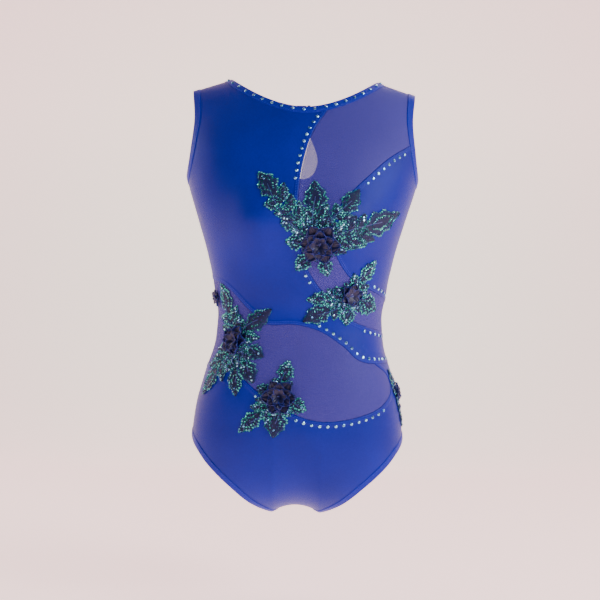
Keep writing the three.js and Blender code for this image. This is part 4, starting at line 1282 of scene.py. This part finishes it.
STONE_ROWS = {
    "bodice_stones_upper": (BODICE_EDGE, -6, 0.12, 0.36),
    "bodice_stones_lower": (BODICE_EDGE, -6, 0.655, 0.7),
    "band_stones_upper": (BODICE_EDGE, -6, 0.88, 0.97),
    "side_panel_stones_upper": (SIDE_PANEL_EDGE, 6, 0.1, 0.3),
    "side_panel_stones_lower": (SIDE_PANEL_EDGE, 6, 0.85, 0.96),
    "waist_stones": (BODICE_HEM, 6, 0.56, 0.97),
    "brief_stones_right": (BRIEF_EDGE, -6, 0.29, 0.35),
    "brief_stones_left": (BRIEF_EDGE, -6, 0.43, 0.68),
}


def stone_row(path, pitch, seed, lift):
    """Rhinestones along a path, each glued to the cloth."""
    place, right, up, normal, tone = scattered(path, pitch, seed)
    return stamped(gem_shape(), place + normal * lift, right, up, normal, size("stone_width"), tone)


# ------------------------------------------------------------------ lace sprays
# Place on the cloth, radius of the middle, and sprigs: direction, reach, leaf length and width.
SPRAYS = {
    "chest_lace": (10.7, -214, 15, [
        [138, 112, 34, 22], [148, 58, 24, 20], [101, 72, 34, 26], [57, 76, 28, 20],
        [19, 98, 44, 28], [180, 42, 22, 18], [233, 44, 24, 18], [287, 42, 22, 16],
    ]),
    "waist_lace": (34.5, -276, 12, [
        [55, 54, 32, 18], [336, 46, 30, 24], [265, 38, 22, 20], [190, 54, 28, 16], [214, 66, 36, 22],
    ]),
    "right_hip_lace": (-47, -336, 13, [
        [112, 74, 38, 20], [46, 62, 42, 20], [340, 44, 22, 18], [306, 60, 30, 22],
        [283, 70, 34, 18], [239, 84, 42, 20],
    ]),
    "lower_lace": (-10.4, -403, 13, [
        [79, 46, 26, 18], [337, 36, 20, 18], [224, 66, 36, 18], [265, 50, 34, 26], [160, 30, 16, 14],
    ]),
    "left_hip_lace": (80, -398, 9, [[112, 32, 24, 16], [275, 46, 22, 12]]),
}
LACE_LIFT = 0.75
LEAF_LOBES = 3.5
LEAF_STEPS = 11
LEAF_ACROSS = 7


def heading(degrees):
    """A flat direction from its angle."""
    angle = math.radians(degrees)
    return np.array([math.cos(angle), math.sin(angle)])


def stem_line(reach, direction, bend=0.10, steps=14):
    """A stem's places on the flat: a shallow arc out to its reach."""
    along = heading(direction)
    across = np.array([-along[1], along[0]])
    t = np.linspace(0, 1, steps)[:, None]
    return reach * (t * along + bend * np.sin(math.pi * t) * across)


def leaf_outline(t):
    """A lobed leaf's half width, for a share of its length: a sine with scallops on it."""
    scallops = 1 + 0.16 * np.sin(2 * math.pi * LEAF_LOBES * t)
    return np.sin(math.pi * np.clip(t, 0.03, 0.97) ** 0.8) * scallops


def leaf_grid(base, direction, long, wide):
    """A lobed leaf on the flat, as a grid from its foot to its tip and from side to side."""
    t = np.linspace(0, 1, LEAF_STEPS)[:, None]
    s = np.linspace(-1, 1, LEAF_ACROSS)[None]
    along, across = t * long + 0 * s, 0.5 * wide * leaf_outline(t) * s
    x = along[..., None] * heading(direction)
    y = across[..., None] * heading(direction + 90)
    return base + x + y, s + 0 * t, t + 0 * s


def leaf_part(spot, base, direction, long, wide, seed):
    """One closed leaf laid on the cloth: thick at its midrib, thin at its edge, with a lifted tip."""
    flat, s, t = leaf_grid(base, direction, long, wide)
    crown = 0.45 + 0.65 * (1 - s**2) + 0.45 * (seed % 3) * t**2
    upper = lay(spot, flat.reshape(-1, 2), (crown + LACE_LIFT).ravel())
    lower = lay(spot, flat.reshape(-1, 2), np.full(crown.size, LACE_LIFT - 0.15))
    count = len(upper)
    front = grid_faces(LEAF_STEPS, LEAF_ACROSS)[:, ::-1]
    faces = np.vstack([front, front[:, ::-1] + count, walls(rim_edges(front), count)])
    pattern = np.stack([0.7 * np.abs(s).ravel() * wide / 2 + t.ravel() * long, s.ravel() * wide / 2], -1)
    tone = 0.25 + 0.75 * np.abs(s).ravel() ** 3
    return surface(np.vstack([upper, lower]), faces, np.vstack([pattern] * 2), np.tile(tone, 2))


def leaf_rim(base, direction, long, wide, steps=26):
    """The closed outline of a lobed leaf, on the flat."""
    t = np.concatenate([np.linspace(0.02, 0.98, steps), np.linspace(0.98, 0.02, steps)])
    side = np.repeat([1, -1], steps)
    along = (t * long)[:, None] * heading(direction)
    across = (0.5 * wide * leaf_outline(t) * side)[:, None] * heading(direction + 90)
    return base + along + across


def inner_rim(base, direction, long, wide):
    """A smaller copy of a leaf's outline, inside it, for a second row of sequins."""
    return leaf_rim(base + heading(direction) * long * 0.2, direction, long * 0.62, wide * 0.5, 16)


def flat_path(spot, flat, lift):
    """A path on the cloth from a drawing on the flat."""
    place = lay(spot, flat, np.full(len(flat), lift))
    along = unit(np.gradient(place, axis=0))
    normal = unit(spot.normal + 0 * along - dot(spot.normal + 0 * along, along)[:, None] * along)
    return Path(place, along, unit(np.cross(normal, along)), normal)


def sprig_leaves(direction, reach, long, wide):
    """A sprig's leaves: one at the tip, and pairs of smaller ones down the stem."""
    leaves = [(heading(direction) * (reach - long), direction, long, wide)]
    pairs = max(1, round((reach - long) / 15))
    for k in range(pairs):
        base = heading(direction) * (reach - long) * (k + 0.7) / (pairs + 0.4)
        for side, angle in ((1, 52), (-1, 46)):
            share = 0.62 - 0.07 * (k % 2)
            leaves.append((base, direction + side * angle, long * share, wide * share * 1.05))
    return leaves


def spray_parts(name, seed):
    """Everything in one lace spray: leaves, corded outlines, sequins, beads and crystals."""
    turn, z, disc, sprigs = SPRAYS[name]
    spot = spot_on(turn, z)
    random = np.random.default_rng(seed)
    leaves, cords, rims = [], [], []
    around = np.arange(0, 360, 60)
    middle = [(heading(a) * disc * 0.15, a, disc * 1.35, disc * 0.95) for a in around]
    drawn = middle + [leaf for sprig in sprigs for leaf in sprig_leaves(*sprig)]
    for k, leaf in enumerate(drawn):
        leaves.append(leaf_part(spot, *leaf, seed=k))
        rim = flat_path(spot, leaf_rim(*leaf), LACE_LIFT + 0.4)
        rims.append(rim)
        rims.append(flat_path(spot, inner_rim(*leaf), LACE_LIFT + 0.7))
        cords.append(tube(rim.place, rim.side, rim.normal, 0.42, 0.42, sides=5))
    for direction, reach, long, _ in sprigs:
        stem = flat_path(spot, stem_line(reach - long * 0.5, direction), LACE_LIFT + 0.9)
        cords.append(tube(stem.place, stem.side, stem.normal, 0.7, 0.6, sides=6))
    sequins = [spangles(rim, random) for rim in rims]
    beads, gems = seed_beads(rims, random), crystals(rims, random)
    return joined(leaves), joined(cords), joined(sequins), beads, gems


def spangles(rim, random):
    """Sequins just inside a leaf's outline, overlapping like scales and each tilted a little."""
    spots = spaced(rim, size("sequin_width") * 1.12)
    count = len(spots.place)
    lean = random.normal(0, 0.22, (count, 2))
    normal = unit(spots.normal + spots.along * (0.22 + lean[:, :1]) + spots.side * lean[:, 1:])
    right = unit(spots.along - normal * dot(spots.along, normal)[:, None])
    width = size("sequin_width") * random.uniform(0.8, 1.08, count)
    tone = random.uniform(0, 1, count)
    place = spots.place + spots.normal * 0.25
    return stamped(sequin_shape(), place, right, np.cross(normal, right), normal, width, tone)


def seed_beads(rims, random):
    """Small beads just inside the leaf outlines, between the sequins."""
    parts = []
    for rim in rims:
        spots = spaced(rim, 7.5)
        width = random.uniform(1.3, 1.9, len(spots.place))
        inset = random.uniform(1.2, 2.8, (len(spots.place), 1))
        place = spots.place - spots.side * inset + spots.normal * 0.3
        parts.append(stamped(bead_shape(6), place, spots.along, spots.side, spots.normal, width))
    return joined(parts)


def crystals(rims, random):
    """One bright crystal near the tip of most leaves."""
    places = [resampled(rim, np.array([0.38 + 0.2 * random.random()])) for rim in rims]
    merged = Path(*[np.vstack(values) for values in zip(*places)])
    inward = merged.place - merged.side * 2.6 + merged.normal * 0.4
    tone = random.uniform(0, 1, len(rims))
    return stamped(gem_shape(), inward, merged.along, merged.side, merged.normal, 3.0, tone)


# ------------------------------------------------------------------ flowers
# Turn, height, share of the largest radius, petals in a ring, rings of petals, and lift off the cloth.
FLOWERS = {
    "chest_flower": (10.7, -214, 1.0, 6, 3, 2.4),
    "waist_flower": (34.5, -276, 0.6, 5, 2, 2.4),
    "right_hip_flower": (-47, -336, 0.75, 5, 3, 2.4),
    "right_waist_blossom": (-75, -282, 0.45, 5, 2, 0.9),
    "lower_flower": (-10.4, -403, 0.85, 6, 3, 2.4),
    "left_hip_blossom": (80, -398, 0.45, 5, 2, 2.0),
}
RING_REACH = (0.96, 0.72, 0.46)
RING_TILT = (0.16, 0.46, 0.88)
PETAL_HALF = 0.15
PETAL_ROWS = 13
PETAL_COLUMNS = 17


def petal(spot, radius, angle, tilt, lift, wave):
    """One ruffled petal, a closed thin skin.

    Its half width grows with the square root of the way out.  It is cupped across, curls back
    at the tip, and its edge is ruffled by a sine that grows towards the edge.
    """
    t = np.linspace(0.02, 1, PETAL_ROWS)[:, None]
    s = np.linspace(-1, 1, PETAL_COLUMNS)[None]
    half = 0.45 * radius * np.sin(math.pi * (0.08 + 0.85 * t)) ** 0.7
    out = radius * t * (1 - 0.13 * s**2 * t)
    ruffle = 0.075 * radius * t**2 * np.sin(3.2 * math.pi * s + wave) * (0.35 + np.abs(s))
    rise = math.tan(tilt) * out * (1 - 0.45 * t) + 0.16 * radius * s**2 * t + ruffle
    x, y = out + 0 * s, half * s
    local = np.stack([x, y, rise + lift], -1).reshape(-1, 3)
    along = heading(angle)
    across = heading(angle + 90)
    right = spot.right * along[0] + spot.up * along[1]
    up = spot.right * across[0] + spot.up * across[1]
    place = spot.place + local[:, :1] * right + local[:, 1:2] * up + local[:, 2:] * spot.normal
    faces = grid_faces(PETAL_ROWS, PETAL_COLUMNS)[:, ::-1]
    normal = corner_normals(place, faces)
    count = len(place)
    closed = np.vstack([faces, faces[:, ::-1] + count, walls(rim_edges(faces), count)])
    # The tone rises towards the petal's edge and tip, where the painted sheen goes.
    painted_edge_sheen = np.maximum(np.abs(s) + 0 * t, t**3).ravel() ** 4
    pattern = np.stack([(x + 0 * s).ravel(), (y + 0 * t).ravel()], -1)
    skins = np.vstack([place + normal * PETAL_HALF, place - normal * PETAL_HALF])
    return surface(skins, closed, np.vstack([pattern] * 2), np.tile(painted_edge_sheen, 2))


def flower_part(name, seed):
    """A flower's rings of petals; inner rings are smaller, steeper and turned by half a petal."""
    turn, z, share, petals, layers, lift = FLOWERS[name]
    spot = spot_on(turn, z)
    random = np.random.default_rng(seed)
    parts = []
    for layer in range(layers):
        for k in range(petals):
            angle = (k + 0.5 * layer) * 360 / petals + random.uniform(-7, 7)
            reach = size("flower_radius") * share * RING_REACH[layer] * random.uniform(0.93, 1.04)
            tilt = RING_TILT[layer] + random.uniform(-0.03, 0.05)
            wave = random.uniform(0, 6.28)
            parts.append(petal(spot, reach, angle, tilt, lift + 1.3 * layer + 0.25 * (k % 2), wave))
    return joined(parts)


def flower_middle(name, seed):
    """A cluster of beads on a spiral."""
    turn, z, share, _, _, lift = FLOWERS[name]
    radius = size("flower_radius") * share
    spot = spot_on(turn, z)
    random = np.random.default_rng(seed)
    count = 15
    k = np.arange(count)
    angle, reach = k * math.radians(137.5), radius * 0.036 * np.sqrt(k)
    across = np.cos(angle)[:, None] * spot.right + np.sin(angle)[:, None] * spot.up
    top = lift + radius * 0.10 - 0.02 * reach**2
    place = spot.place + across * reach[:, None] + spot.normal * top[:, None]
    normal = unit(spot.normal + across * (0.14 * np.sqrt(k))[:, None])
    right = unit(np.cross(spot.up, normal))
    return stamped(bead_shape(10), place, right, np.cross(normal, right), normal,
                   radius * random.uniform(0.085, 0.12, count))


# ------------------------------------------------------------------ edges, seams and closure
BINDING_STITCH_LIFT = 1.05
SEAM_STITCH_LIFT = 0.78
ALLOWANCE = (-0.9, -1.5)
LINING = (-2.05, -2.75)
LABEL = (-2.0, -2.35)
KEYHOLE_CLEARANCE = 1.2
KEYHOLE_WIDTH = 7.6
SHOULDER_SEAM_END = -60
SIDE_SEAM_TOP = -90
SIDE_SEAM_END = -500
SEAM_HALF_WIDTH = 3.0
GUSSET_TOP = -488
ARM_CENTRE = (0, 0, -68)
LEG_CENTRE = (0, 0, -512)
LABEL_HALF_WIDTH = 11
LABEL_TOP = -388
LABEL_END = -420
BUTTON_FROM_MIDDLE = 8.2
BUTTON_REST = 1.95
LOOP_LEVEL = 2.75
LOOP_CORD = 1.6
LOOP_SEWN_END = 3.4
LOOP_REACH = 6.5
TAB_EDGE = 4.55


def line_through(sheet, measure, level, order):
    """The line where a sheet's measure reaches a level, in order of one coordinate."""
    marked = split(sheet, measure, level)
    table = marked.table[np.abs(column(marked, measure) - level) < 1e-6]
    table = table[np.argsort(table[:, order])]
    apart = np.concatenate([[True], np.linalg.norm(np.diff(table[:, POINT], axis=0), axis=1) > 0.2])
    place, normal = table[apart, POINT], unit(table[apart, NORMAL])
    along = unit(np.gradient(place, axis=0))
    return Path(place, along, unit(np.cross(normal, along)), normal)


def add_seam(name, within, measure, order):
    """A seam allowance with two wavy overlock threads on its inner face."""
    strip = band(within, measure, -SEAM_HALF_WIDTH, SEAM_HALF_WIDTH)
    make_piece(f"{name}_allowance", shell(strip, *ALLOWANCE), material("tape"), [name])
    path = line_through(strip, measure, 0.0, order)
    fine = spaced(path, 0.75)
    wave = np.arange(len(fine.place)) * math.pi / 2
    threads = []
    for phase, lift in ((0, -1.62), (math.pi, -1.7)):
        sideways = 2.5 * np.sin(wave + phase)
        place = fine.place + fine.side * sideways[:, None] + fine.normal * lift
        threads.append(tube(place, fine.side, fine.normal, 0.16, 0.16, sides=5))
    make_piece(f"{name}_threads", joined(threads), material("overlock"))


def add_lining(inner):
    """The crotch lining, a second layer of knit inside the crotch."""
    part = shell(cut(inner, "z", GUSSET_TOP, -1), *LINING)
    piece = make_piece("crotch_lining_layer", part, material("cloth"), ["crotch_lining"])


def add_label(inner):
    """A blank care label inside the left side seam."""
    left_side = band(cut(inner, "x", 0), "y", -LABEL_HALF_WIDTH, LABEL_HALF_WIDTH)
    strip = band(left_side, "z", LABEL_END, LABEL_TOP)
    make_piece("care_label_tape", shell(strip, *LABEL), material("label"), ["care_label"])


def binding_rows():
    """The topstitch paths on bindings and hems, with the height that each lies at."""
    width, hem = size("binding_width"), size("hem_width")
    neck_cloth = cut(cloth(), "keyhole", KEYHOLE_CLEARANCE)
    rows = []
    for back in (1.9, 3.3):
        rows.append(loop_around("neck", width - back, neck_cloth, (0, 0, 0), ((0, 1, 0), (1, 0, 0))))
        for sign, side in ((1, "left"), (-1, "right")):
            half = cut(cloth(), "x", 0, sign)
            arm_axes, leg_axes = ((0, 1, 0), (0, 0, 1)), ((0, 0, 1), (0, 1, 0))
            rows.append(loop_around(f"{side}_arm", width - back, half, ARM_CENTRE, arm_axes))
            rows.append(loop_around(f"{side}_leg", hem - back, half, LEG_CENTRE, leg_axes))
    return [(path, BINDING_STITCH_LIFT) for path in rows]


def seam_rows():
    """The topstitch paths on the front seams, on the opaque side of each."""
    rows = []
    margin = size("binding_width") + 0.6
    for line, side in ((BODICE_EDGE, -1), (SIDE_PANEL_EDGE, 1), (BODICE_HEM, 1), (BRIEF_EDGE, -1)):
        for distance in (1.7, 3.9):
            rows.append(edge_path(line, side * distance, margin))
    return rows


def nape_frame():
    """The closure's place, and its right, up and outward directions, from the loop's hinge."""
    hinge = next(joint for joint in frame["joints"] if joint["name"] == "loop_hinge")
    up = -unit(np.array(hinge["axis"], float))
    right = np.array([-1.0, 0.0, 0.0])
    normal = np.cross(right, up)
    place = np.array(hinge["pos_m"], float) / MM
    return place - normal * LOOP_LEVEL + right * LOOP_SEWN_END, right, up, normal


def button_shape():
    """A round covered button: a foot, a flat underside and a domed top."""
    dome = np.linspace(0, math.pi / 2, 9)
    top = np.stack([5.0 * np.cos(dome), 5.35 + 1.75 * np.sin(dome)], -1)[:-1]
    foot = [[1.2, BUTTON_REST], [1.9, BUTTON_REST], [1.7, 3.0], [1.9, 4.3]]
    underside = [[4.2, 4.45], [4.85, 4.75], [5.05, 5.1]]
    return rings([*foot, *underside, *top.tolist(), [0.5, 7.08]], 36)


def loop_part(place, right, up, normal):
    """An elastic cord bent into a U: two straight legs and a half circle round the button."""
    reach = LOOP_REACH
    leg = np.linspace(-LOOP_SEWN_END, BUTTON_FROM_MIDDLE, 14)[:, None]
    low = np.hstack([leg, -reach * np.ones_like(leg)])
    high = np.hstack([leg[::-1], reach * np.ones_like(leg)])
    angle = np.linspace(-math.pi / 2, math.pi / 2, 34)[1:-1, None]
    bend = np.hstack([BUTTON_FROM_MIDDLE + reach * np.cos(angle), reach * np.sin(angle)])
    flat = np.vstack([low, bend, high])
    centre = place + normal * LOOP_LEVEL
    line = centre + flat[:, :1] * right + flat[:, 1:] * up
    along = unit(np.gradient(line, axis=0))
    across = np.cross(normal, along)
    return tube(line, across, np.broadcast_to(normal, line.shape), LOOP_CORD / 2, LOOP_CORD / 2, sides=14)


def tab_part(place, right, up, normal):
    """A folded tab of binding over the loop's sewn end, a rounded block."""
    half_wide, half_long, thick = 2.0, 8.5, 1.6
    i = np.linspace(-1, 1, 13)
    s, t = np.meshgrid(i, i, indexing="ij")
    crown = thick * (1 - s**6) ** 0.5 * (1 - t**8) ** 0.5
    centre = place - right * (TAB_EDGE + half_wide)
    flat = centre + (s * half_wide).reshape(-1, 1) * right + (t * half_long).reshape(-1, 1) * up
    upper = flat + (BUTTON_REST + 0.05 + crown).reshape(-1, 1) * normal
    lower = flat + (BUTTON_REST - 0.1) * normal
    faces = grid_faces(13, 13)[:, ::-1]
    closed = np.vstack([faces, faces[:, ::-1] + len(flat), walls(rim_edges(faces), len(flat))])
    pattern = np.stack([(s * half_wide).ravel(), (t * half_long).ravel()], -1)
    return surface(np.vstack([upper, lower]), closed, np.vstack([pattern] * 2))


# ------------------------------------------------------------------ stage
CAMERA_DISTANCE = 1.70
CAMERA_LENS = 78.5
CAMERA_ROLL = 1.2
# Name, direction from the object, size of the lamp in metres, watts and colour.
LIGHTS = [
    ("key", (0.95, -0.62, 0.5), 0.6, 19.0, (1.0, 0.97, 0.94)),
    ("fill", (-0.95, -0.8, 0.15), 1.0, 1.5, (0.96, 0.95, 1.0)),
    ("rim", (-1.0, 0.45, 0.5), 0.5, 5.0, (1.0, 0.96, 0.95)),
    ("behind", (0.5, 0.5, 0.9), 0.6, 5.0, (1.0, 0.96, 0.95)),
]


def add_camera(middle):
    """A camera straight in front of the chest, rolled a little."""
    camera = bpy.data.objects.new("camera", bpy.data.cameras.new("camera"))
    bpy.context.scene.collection.objects.link(camera)
    camera.data.lens = CAMERA_LENS
    camera.location = (0.0, -CAMERA_DISTANCE, middle[2] - 0.005)
    turn = Matrix.Rotation(math.radians(90), 4, "X") @ Matrix.Rotation(math.radians(CAMERA_ROLL), 4, "Z")
    camera.rotation_euler = turn.to_euler()
    bpy.context.scene.camera = camera


def add_light(name, middle, direction, reach, watts, colour_of):
    """A square area light that faces the middle of the object."""
    light = bpy.data.lights.new(name, "AREA")
    light.energy, light.size, light.color = watts, reach, colour_of
    made = bpy.data.objects.new(name, light)
    bpy.context.scene.collection.objects.link(made)
    made.location = Vector(middle) + Vector(direction) * 1.25
    made.rotation_euler = (Vector(middle) - made.location).to_track_quat("-Z", "Y").to_euler()


def add_backdrop(middle, lowest):
    """One sheet: a floor under the object that curves up into a wall behind it."""
    floor, back, bend = lowest - 0.12, 2.4, 1.0
    angle = np.linspace(0, math.pi / 2, 17)
    y = np.concatenate([[-12.0], back - bend + bend * np.sin(angle), [back]])
    z = np.concatenate([[floor], floor + bend - bend * np.cos(angle), [floor + 9.0]])
    x = np.array([-12.0, 12.0])
    points = np.stack(np.broadcast_arrays(x[None, :], y[:, None], z[:, None]), -1).reshape(-1, 3)
    mesh = bpy.data.meshes.new("backdrop")
    mesh.from_pydata(points.tolist(), [], grid_faces(len(y), 2)[:, ::-1].tolist())
    mesh.polygons.foreach_set("use_smooth", np.ones(len(mesh.polygons), bool))
    mesh.materials.append(wall_finish((middle[0], back, middle[2])))
    backdrop = bpy.data.objects.new("backdrop", mesh)
    bpy.context.scene.collection.objects.link(backdrop)
    backdrop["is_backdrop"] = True


# ------------------------------------------------------------------ operators
class LEOTARD_OT_panels(bpy.types.Operator):
    """Cuts the seven panels of knit and net from the body cloth"""

    bl_idname = "leotard.panels"
    bl_label = "Panels"

    def execute(self, context):
        """Adds each panel."""
        for name, sheet in panel_sheets().items():
            finish, edges, flat = PANELS[name]
            add_panel(name, sheet, edges, finish)
        return {"FINISHED"}


class LEOTARD_OT_bindings(bpy.types.Operator):
    """Folds bindings over the neck and armholes, and hems over the legs, with elastic inside"""

    bl_idname = "leotard.bindings"
    bl_label = "Bindings and hems"

    def execute(self, context):
        """Adds each strip and its elastic."""
        neck_cloth = cut(cloth(), "keyhole", 0)
        add_binding("neck_binding", "neck", size("binding_width"), neck_cloth)
        add_elastic("neck_elastic", "neck", cut(cloth(), "keyhole", KEYHOLE_CLEARANCE))
        for side in ("left", "right"):
            width = size("binding_width")
            add_binding(f"{side}_armhole_binding", f"{side}_arm", width, cloth())
            add_elastic(f"{side}_armhole_elastic", f"{side}_arm", cloth())
            add_binding(f"{side}_leg_hem", f"{side}_leg", size("hem_width"), cloth())
            add_elastic(f"{side}_leg_elastic", f"{side}_leg", cloth())
        below_neck = cut(cloth(), "neck", size("binding_width") + 0.3)
        add_binding("keyhole_binding", "keyhole", KEYHOLE_WIDTH, below_neck)
        return {"FINISHED"}


class LEOTARD_OT_inside(bpy.types.Operator):
    """Adds the overlocked seams, the crotch lining and the care label inside the cloth"""

    bl_idname = "leotard.inside"
    bl_label = "Inside seams"

    def execute(self, context):
        """Adds each inside piece."""
        inner = clear_of(cloth(), EDGES, size("binding_width") + 0.3)
        shoulders = cut(inner, "z", SHOULDER_SEAM_END)
        sides = band(inner, "z", SIDE_SEAM_END, SIDE_SEAM_TOP)
        add_seam("left_shoulder_seam", cut(shoulders, "x", 0), "y", 0)
        add_seam("right_shoulder_seam", cut(shoulders, "x", 0, -1), "y", 0)
        add_seam("left_side_seam", cut(sides, "x", 0), "y", 2)
        add_seam("right_side_seam", cut(sides, "x", 0, -1), "y", 2)
        add_seam("crotch_seam", cut(inner, "z", SIDE_SEAM_END, -1), "y", 0)
        add_seam("centre_back_seam", cut(inner, "y", SEAM_HALF_WIDTH + 0.3), "x", 2)
        add_lining(inner)
        add_label(inner)
        return {"FINISHED"}


class LEOTARD_OT_stitching(bpy.types.Operator):
    """Sews two rows of topstitches along the bindings, hems and front seams"""

    bl_idname = "leotard.stitching"
    bl_label = "Stitching"

    def execute(self, context):
        """Adds the stitches as one piece."""
        rows = [stitched(path, lift) for path, lift in binding_rows()]
        rows += [stitched(path, SEAM_STITCH_LIFT) for path in seam_rows()]
        make_piece("topstitching", joined(rows), material("thread"))
        return {"FINISHED"}


class LEOTARD_OT_rhinestones(bpy.types.Operator):
    """Sets rhinestones along the front seams and the front neck binding"""

    bl_idname = "leotard.rhinestones"
    bl_label = "Rhinestones"

    def execute(self, context):
        """Adds each line of stones."""
        for seed, (name, (line, shift, start, end)) in enumerate(STONE_ROWS.items()):
            path = resampled(line_path(line, shift), np.linspace(start, end, 60))
            part = stone_row(path, size("stone_pitch"), seed, STONE_LIFT)
            make_piece(f"{name}_gems", part, material("crystal"), [name], faceted=True)
        neck = neck_side(FRONT_NECK_DROP, False)
        middle = shifted(neck, -size("binding_width") / 2)
        part = stone_row(middle, size("neck_stone_pitch"), 20, NECK_STONE_LIFT)
        make_piece("neck_stones_gems", part, material("crystal"), ["neck_stones"], faceted=True)
        return {"FINISHED"}


class LEOTARD_OT_lace(bpy.types.Operator):
    """Lays five lace sprays on the front: leaves, cords, sequins, beads and crystals"""

    bl_idname = "leotard.lace"
    bl_label = "Lace"

    def execute(self, context):
        """Adds each spray as five pieces."""
        for seed, name in enumerate(SPRAYS):
            leaves, cords, sequins, beads, gems = spray_parts(name, 100 + seed)
            make_piece(f"{name}_leaves", leaves, material("lace"), [name])
            make_piece(f"{name}_cords", cords, material("cord"))
            make_piece(f"{name}_sequins", sequins, material("sequin"), faceted=True)
            make_piece(f"{name}_beads", beads, material("bead"))
            make_piece(f"{name}_crystals", gems, material("crystal"), faceted=True)
        return {"FINISHED"}


class LEOTARD_OT_flowers(bpy.types.Operator):
    """Makes six organza flowers with beaded middles"""

    bl_idname = "leotard.flowers"
    bl_label = "Flowers"

    def execute(self, context):
        """Adds each flower and its middle."""
        for seed, name in enumerate(FLOWERS):
            rings_of = (f"{name}_petals", f"{name}_inner_petals")
            replaced = [node for node in rings_of if node in frame["nodes"]]
            petals = flower_part(name, 40 + seed)
            make_piece(f"{name}_organza", petals, material("organza"), replaced)
            middle = flower_middle(name, 60 + seed)
            make_piece(f"{name}_middle", middle, material("bead"), [f"{name}_bead"])
        return {"FINISHED"}


class LEOTARD_OT_closure(bpy.types.Operator):
    """Makes the nape button, its elastic loop and the tab that holds the loop"""

    bl_idname = "leotard.closure"
    bl_label = "Nape closure"

    def execute(self, context):
        """Adds the button, the loop and the tab."""
        place, right, up, normal = nape_frame()
        button = place + right * BUTTON_FROM_MIDDLE
        part = stamped(button_shape(), button[None], right[None], up[None], normal[None])
        make_piece("nape_button_ball", part, material("button"), ["nape_button"])
        make_piece("button_loop_cord", loop_part(place, right, up, normal), material("loop"),
                   ["button_loop"], body="loop")
        tab = tab_part(place, right, up, normal)
        make_piece("loop_tab_fold", tab, material("binding"), ["loop_tab"])
        return {"FINISHED"}


class LEOTARD_OT_stage(bpy.types.Operator):
    """Sets the camera, the lights and a pale backdrop"""

    bl_idname = "leotard.stage"
    bl_label = "Stage"

    def execute(self, context):
        """Adds the camera, the lights, the backdrop and the world."""
        low, high = (np.array(corner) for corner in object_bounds())
        middle = (low + high) / 2
        add_camera(middle)
        add_backdrop(middle, low[2])
        for name, direction, width, watts, colour_of in LIGHTS:
            add_light(name, middle, direction, width, watts, colour_of)
        world = bpy.data.worlds.new("studio")
        bpy.context.scene.world = world
        world.use_nodes = True
        world.node_tree.nodes["Background"].inputs["Color"].default_value = (1.0, 0.95, 0.94, 1)
        world.node_tree.nodes["Background"].inputs["Strength"].default_value = 0.22
        return {"FINISHED"}


# ------------------------------------------------------------------ panel and main
STEPS = ["panels", "bindings", "inside", "stitching", "rhinestones", "lace", "flowers", "closure",
         "stage"]


class VIEW3D_PT_leotard(bpy.types.Panel):
    """The leotard's sizes, colours and steps"""

    bl_label = "Leotard"
    bl_space_type = "VIEW_3D"
    bl_region_type = "UI"
    bl_category = "Leotard"

    def draw(self, context):
        """Lists the sizes, the colours and a button for each step."""
        for group in (context.scene.leotard_sizes, context.scene.leotard_colours):
            for name in group.__annotations__:
                self.layout.prop(group, name)
        for step in STEPS:
            self.layout.operator(f"leotard.{step}")


CLASSES = [
    LeotardSizes,
    LeotardColours,
    LEOTARD_OT_panels,
    LEOTARD_OT_bindings,
    LEOTARD_OT_inside,
    LEOTARD_OT_stitching,
    LEOTARD_OT_rhinestones,
    LEOTARD_OT_lace,
    LEOTARD_OT_flowers,
    LEOTARD_OT_closure,
    LEOTARD_OT_stage,
    VIEW3D_PT_leotard,
]


def register():
    """Registers the classes and adds the sizes and colours to the scene."""
    for kind in CLASSES:
        bpy.utils.register_class(kind)
    bpy.types.Scene.leotard_sizes = bpy.props.PointerProperty(type=LeotardSizes)
    bpy.types.Scene.leotard_colours = bpy.props.PointerProperty(type=LeotardColours)


def unregister():
    """Takes away what register added."""
    del bpy.types.Scene.leotard_sizes
    del bpy.types.Scene.leotard_colours
    for kind in reversed(CLASSES):
        bpy.utils.unregister_class(kind)


def main():
    """Runs every step in order."""
    register()
    for step in STEPS:
        getattr(bpy.ops.leotard, step)()


if __name__ == "__main__":
    main()
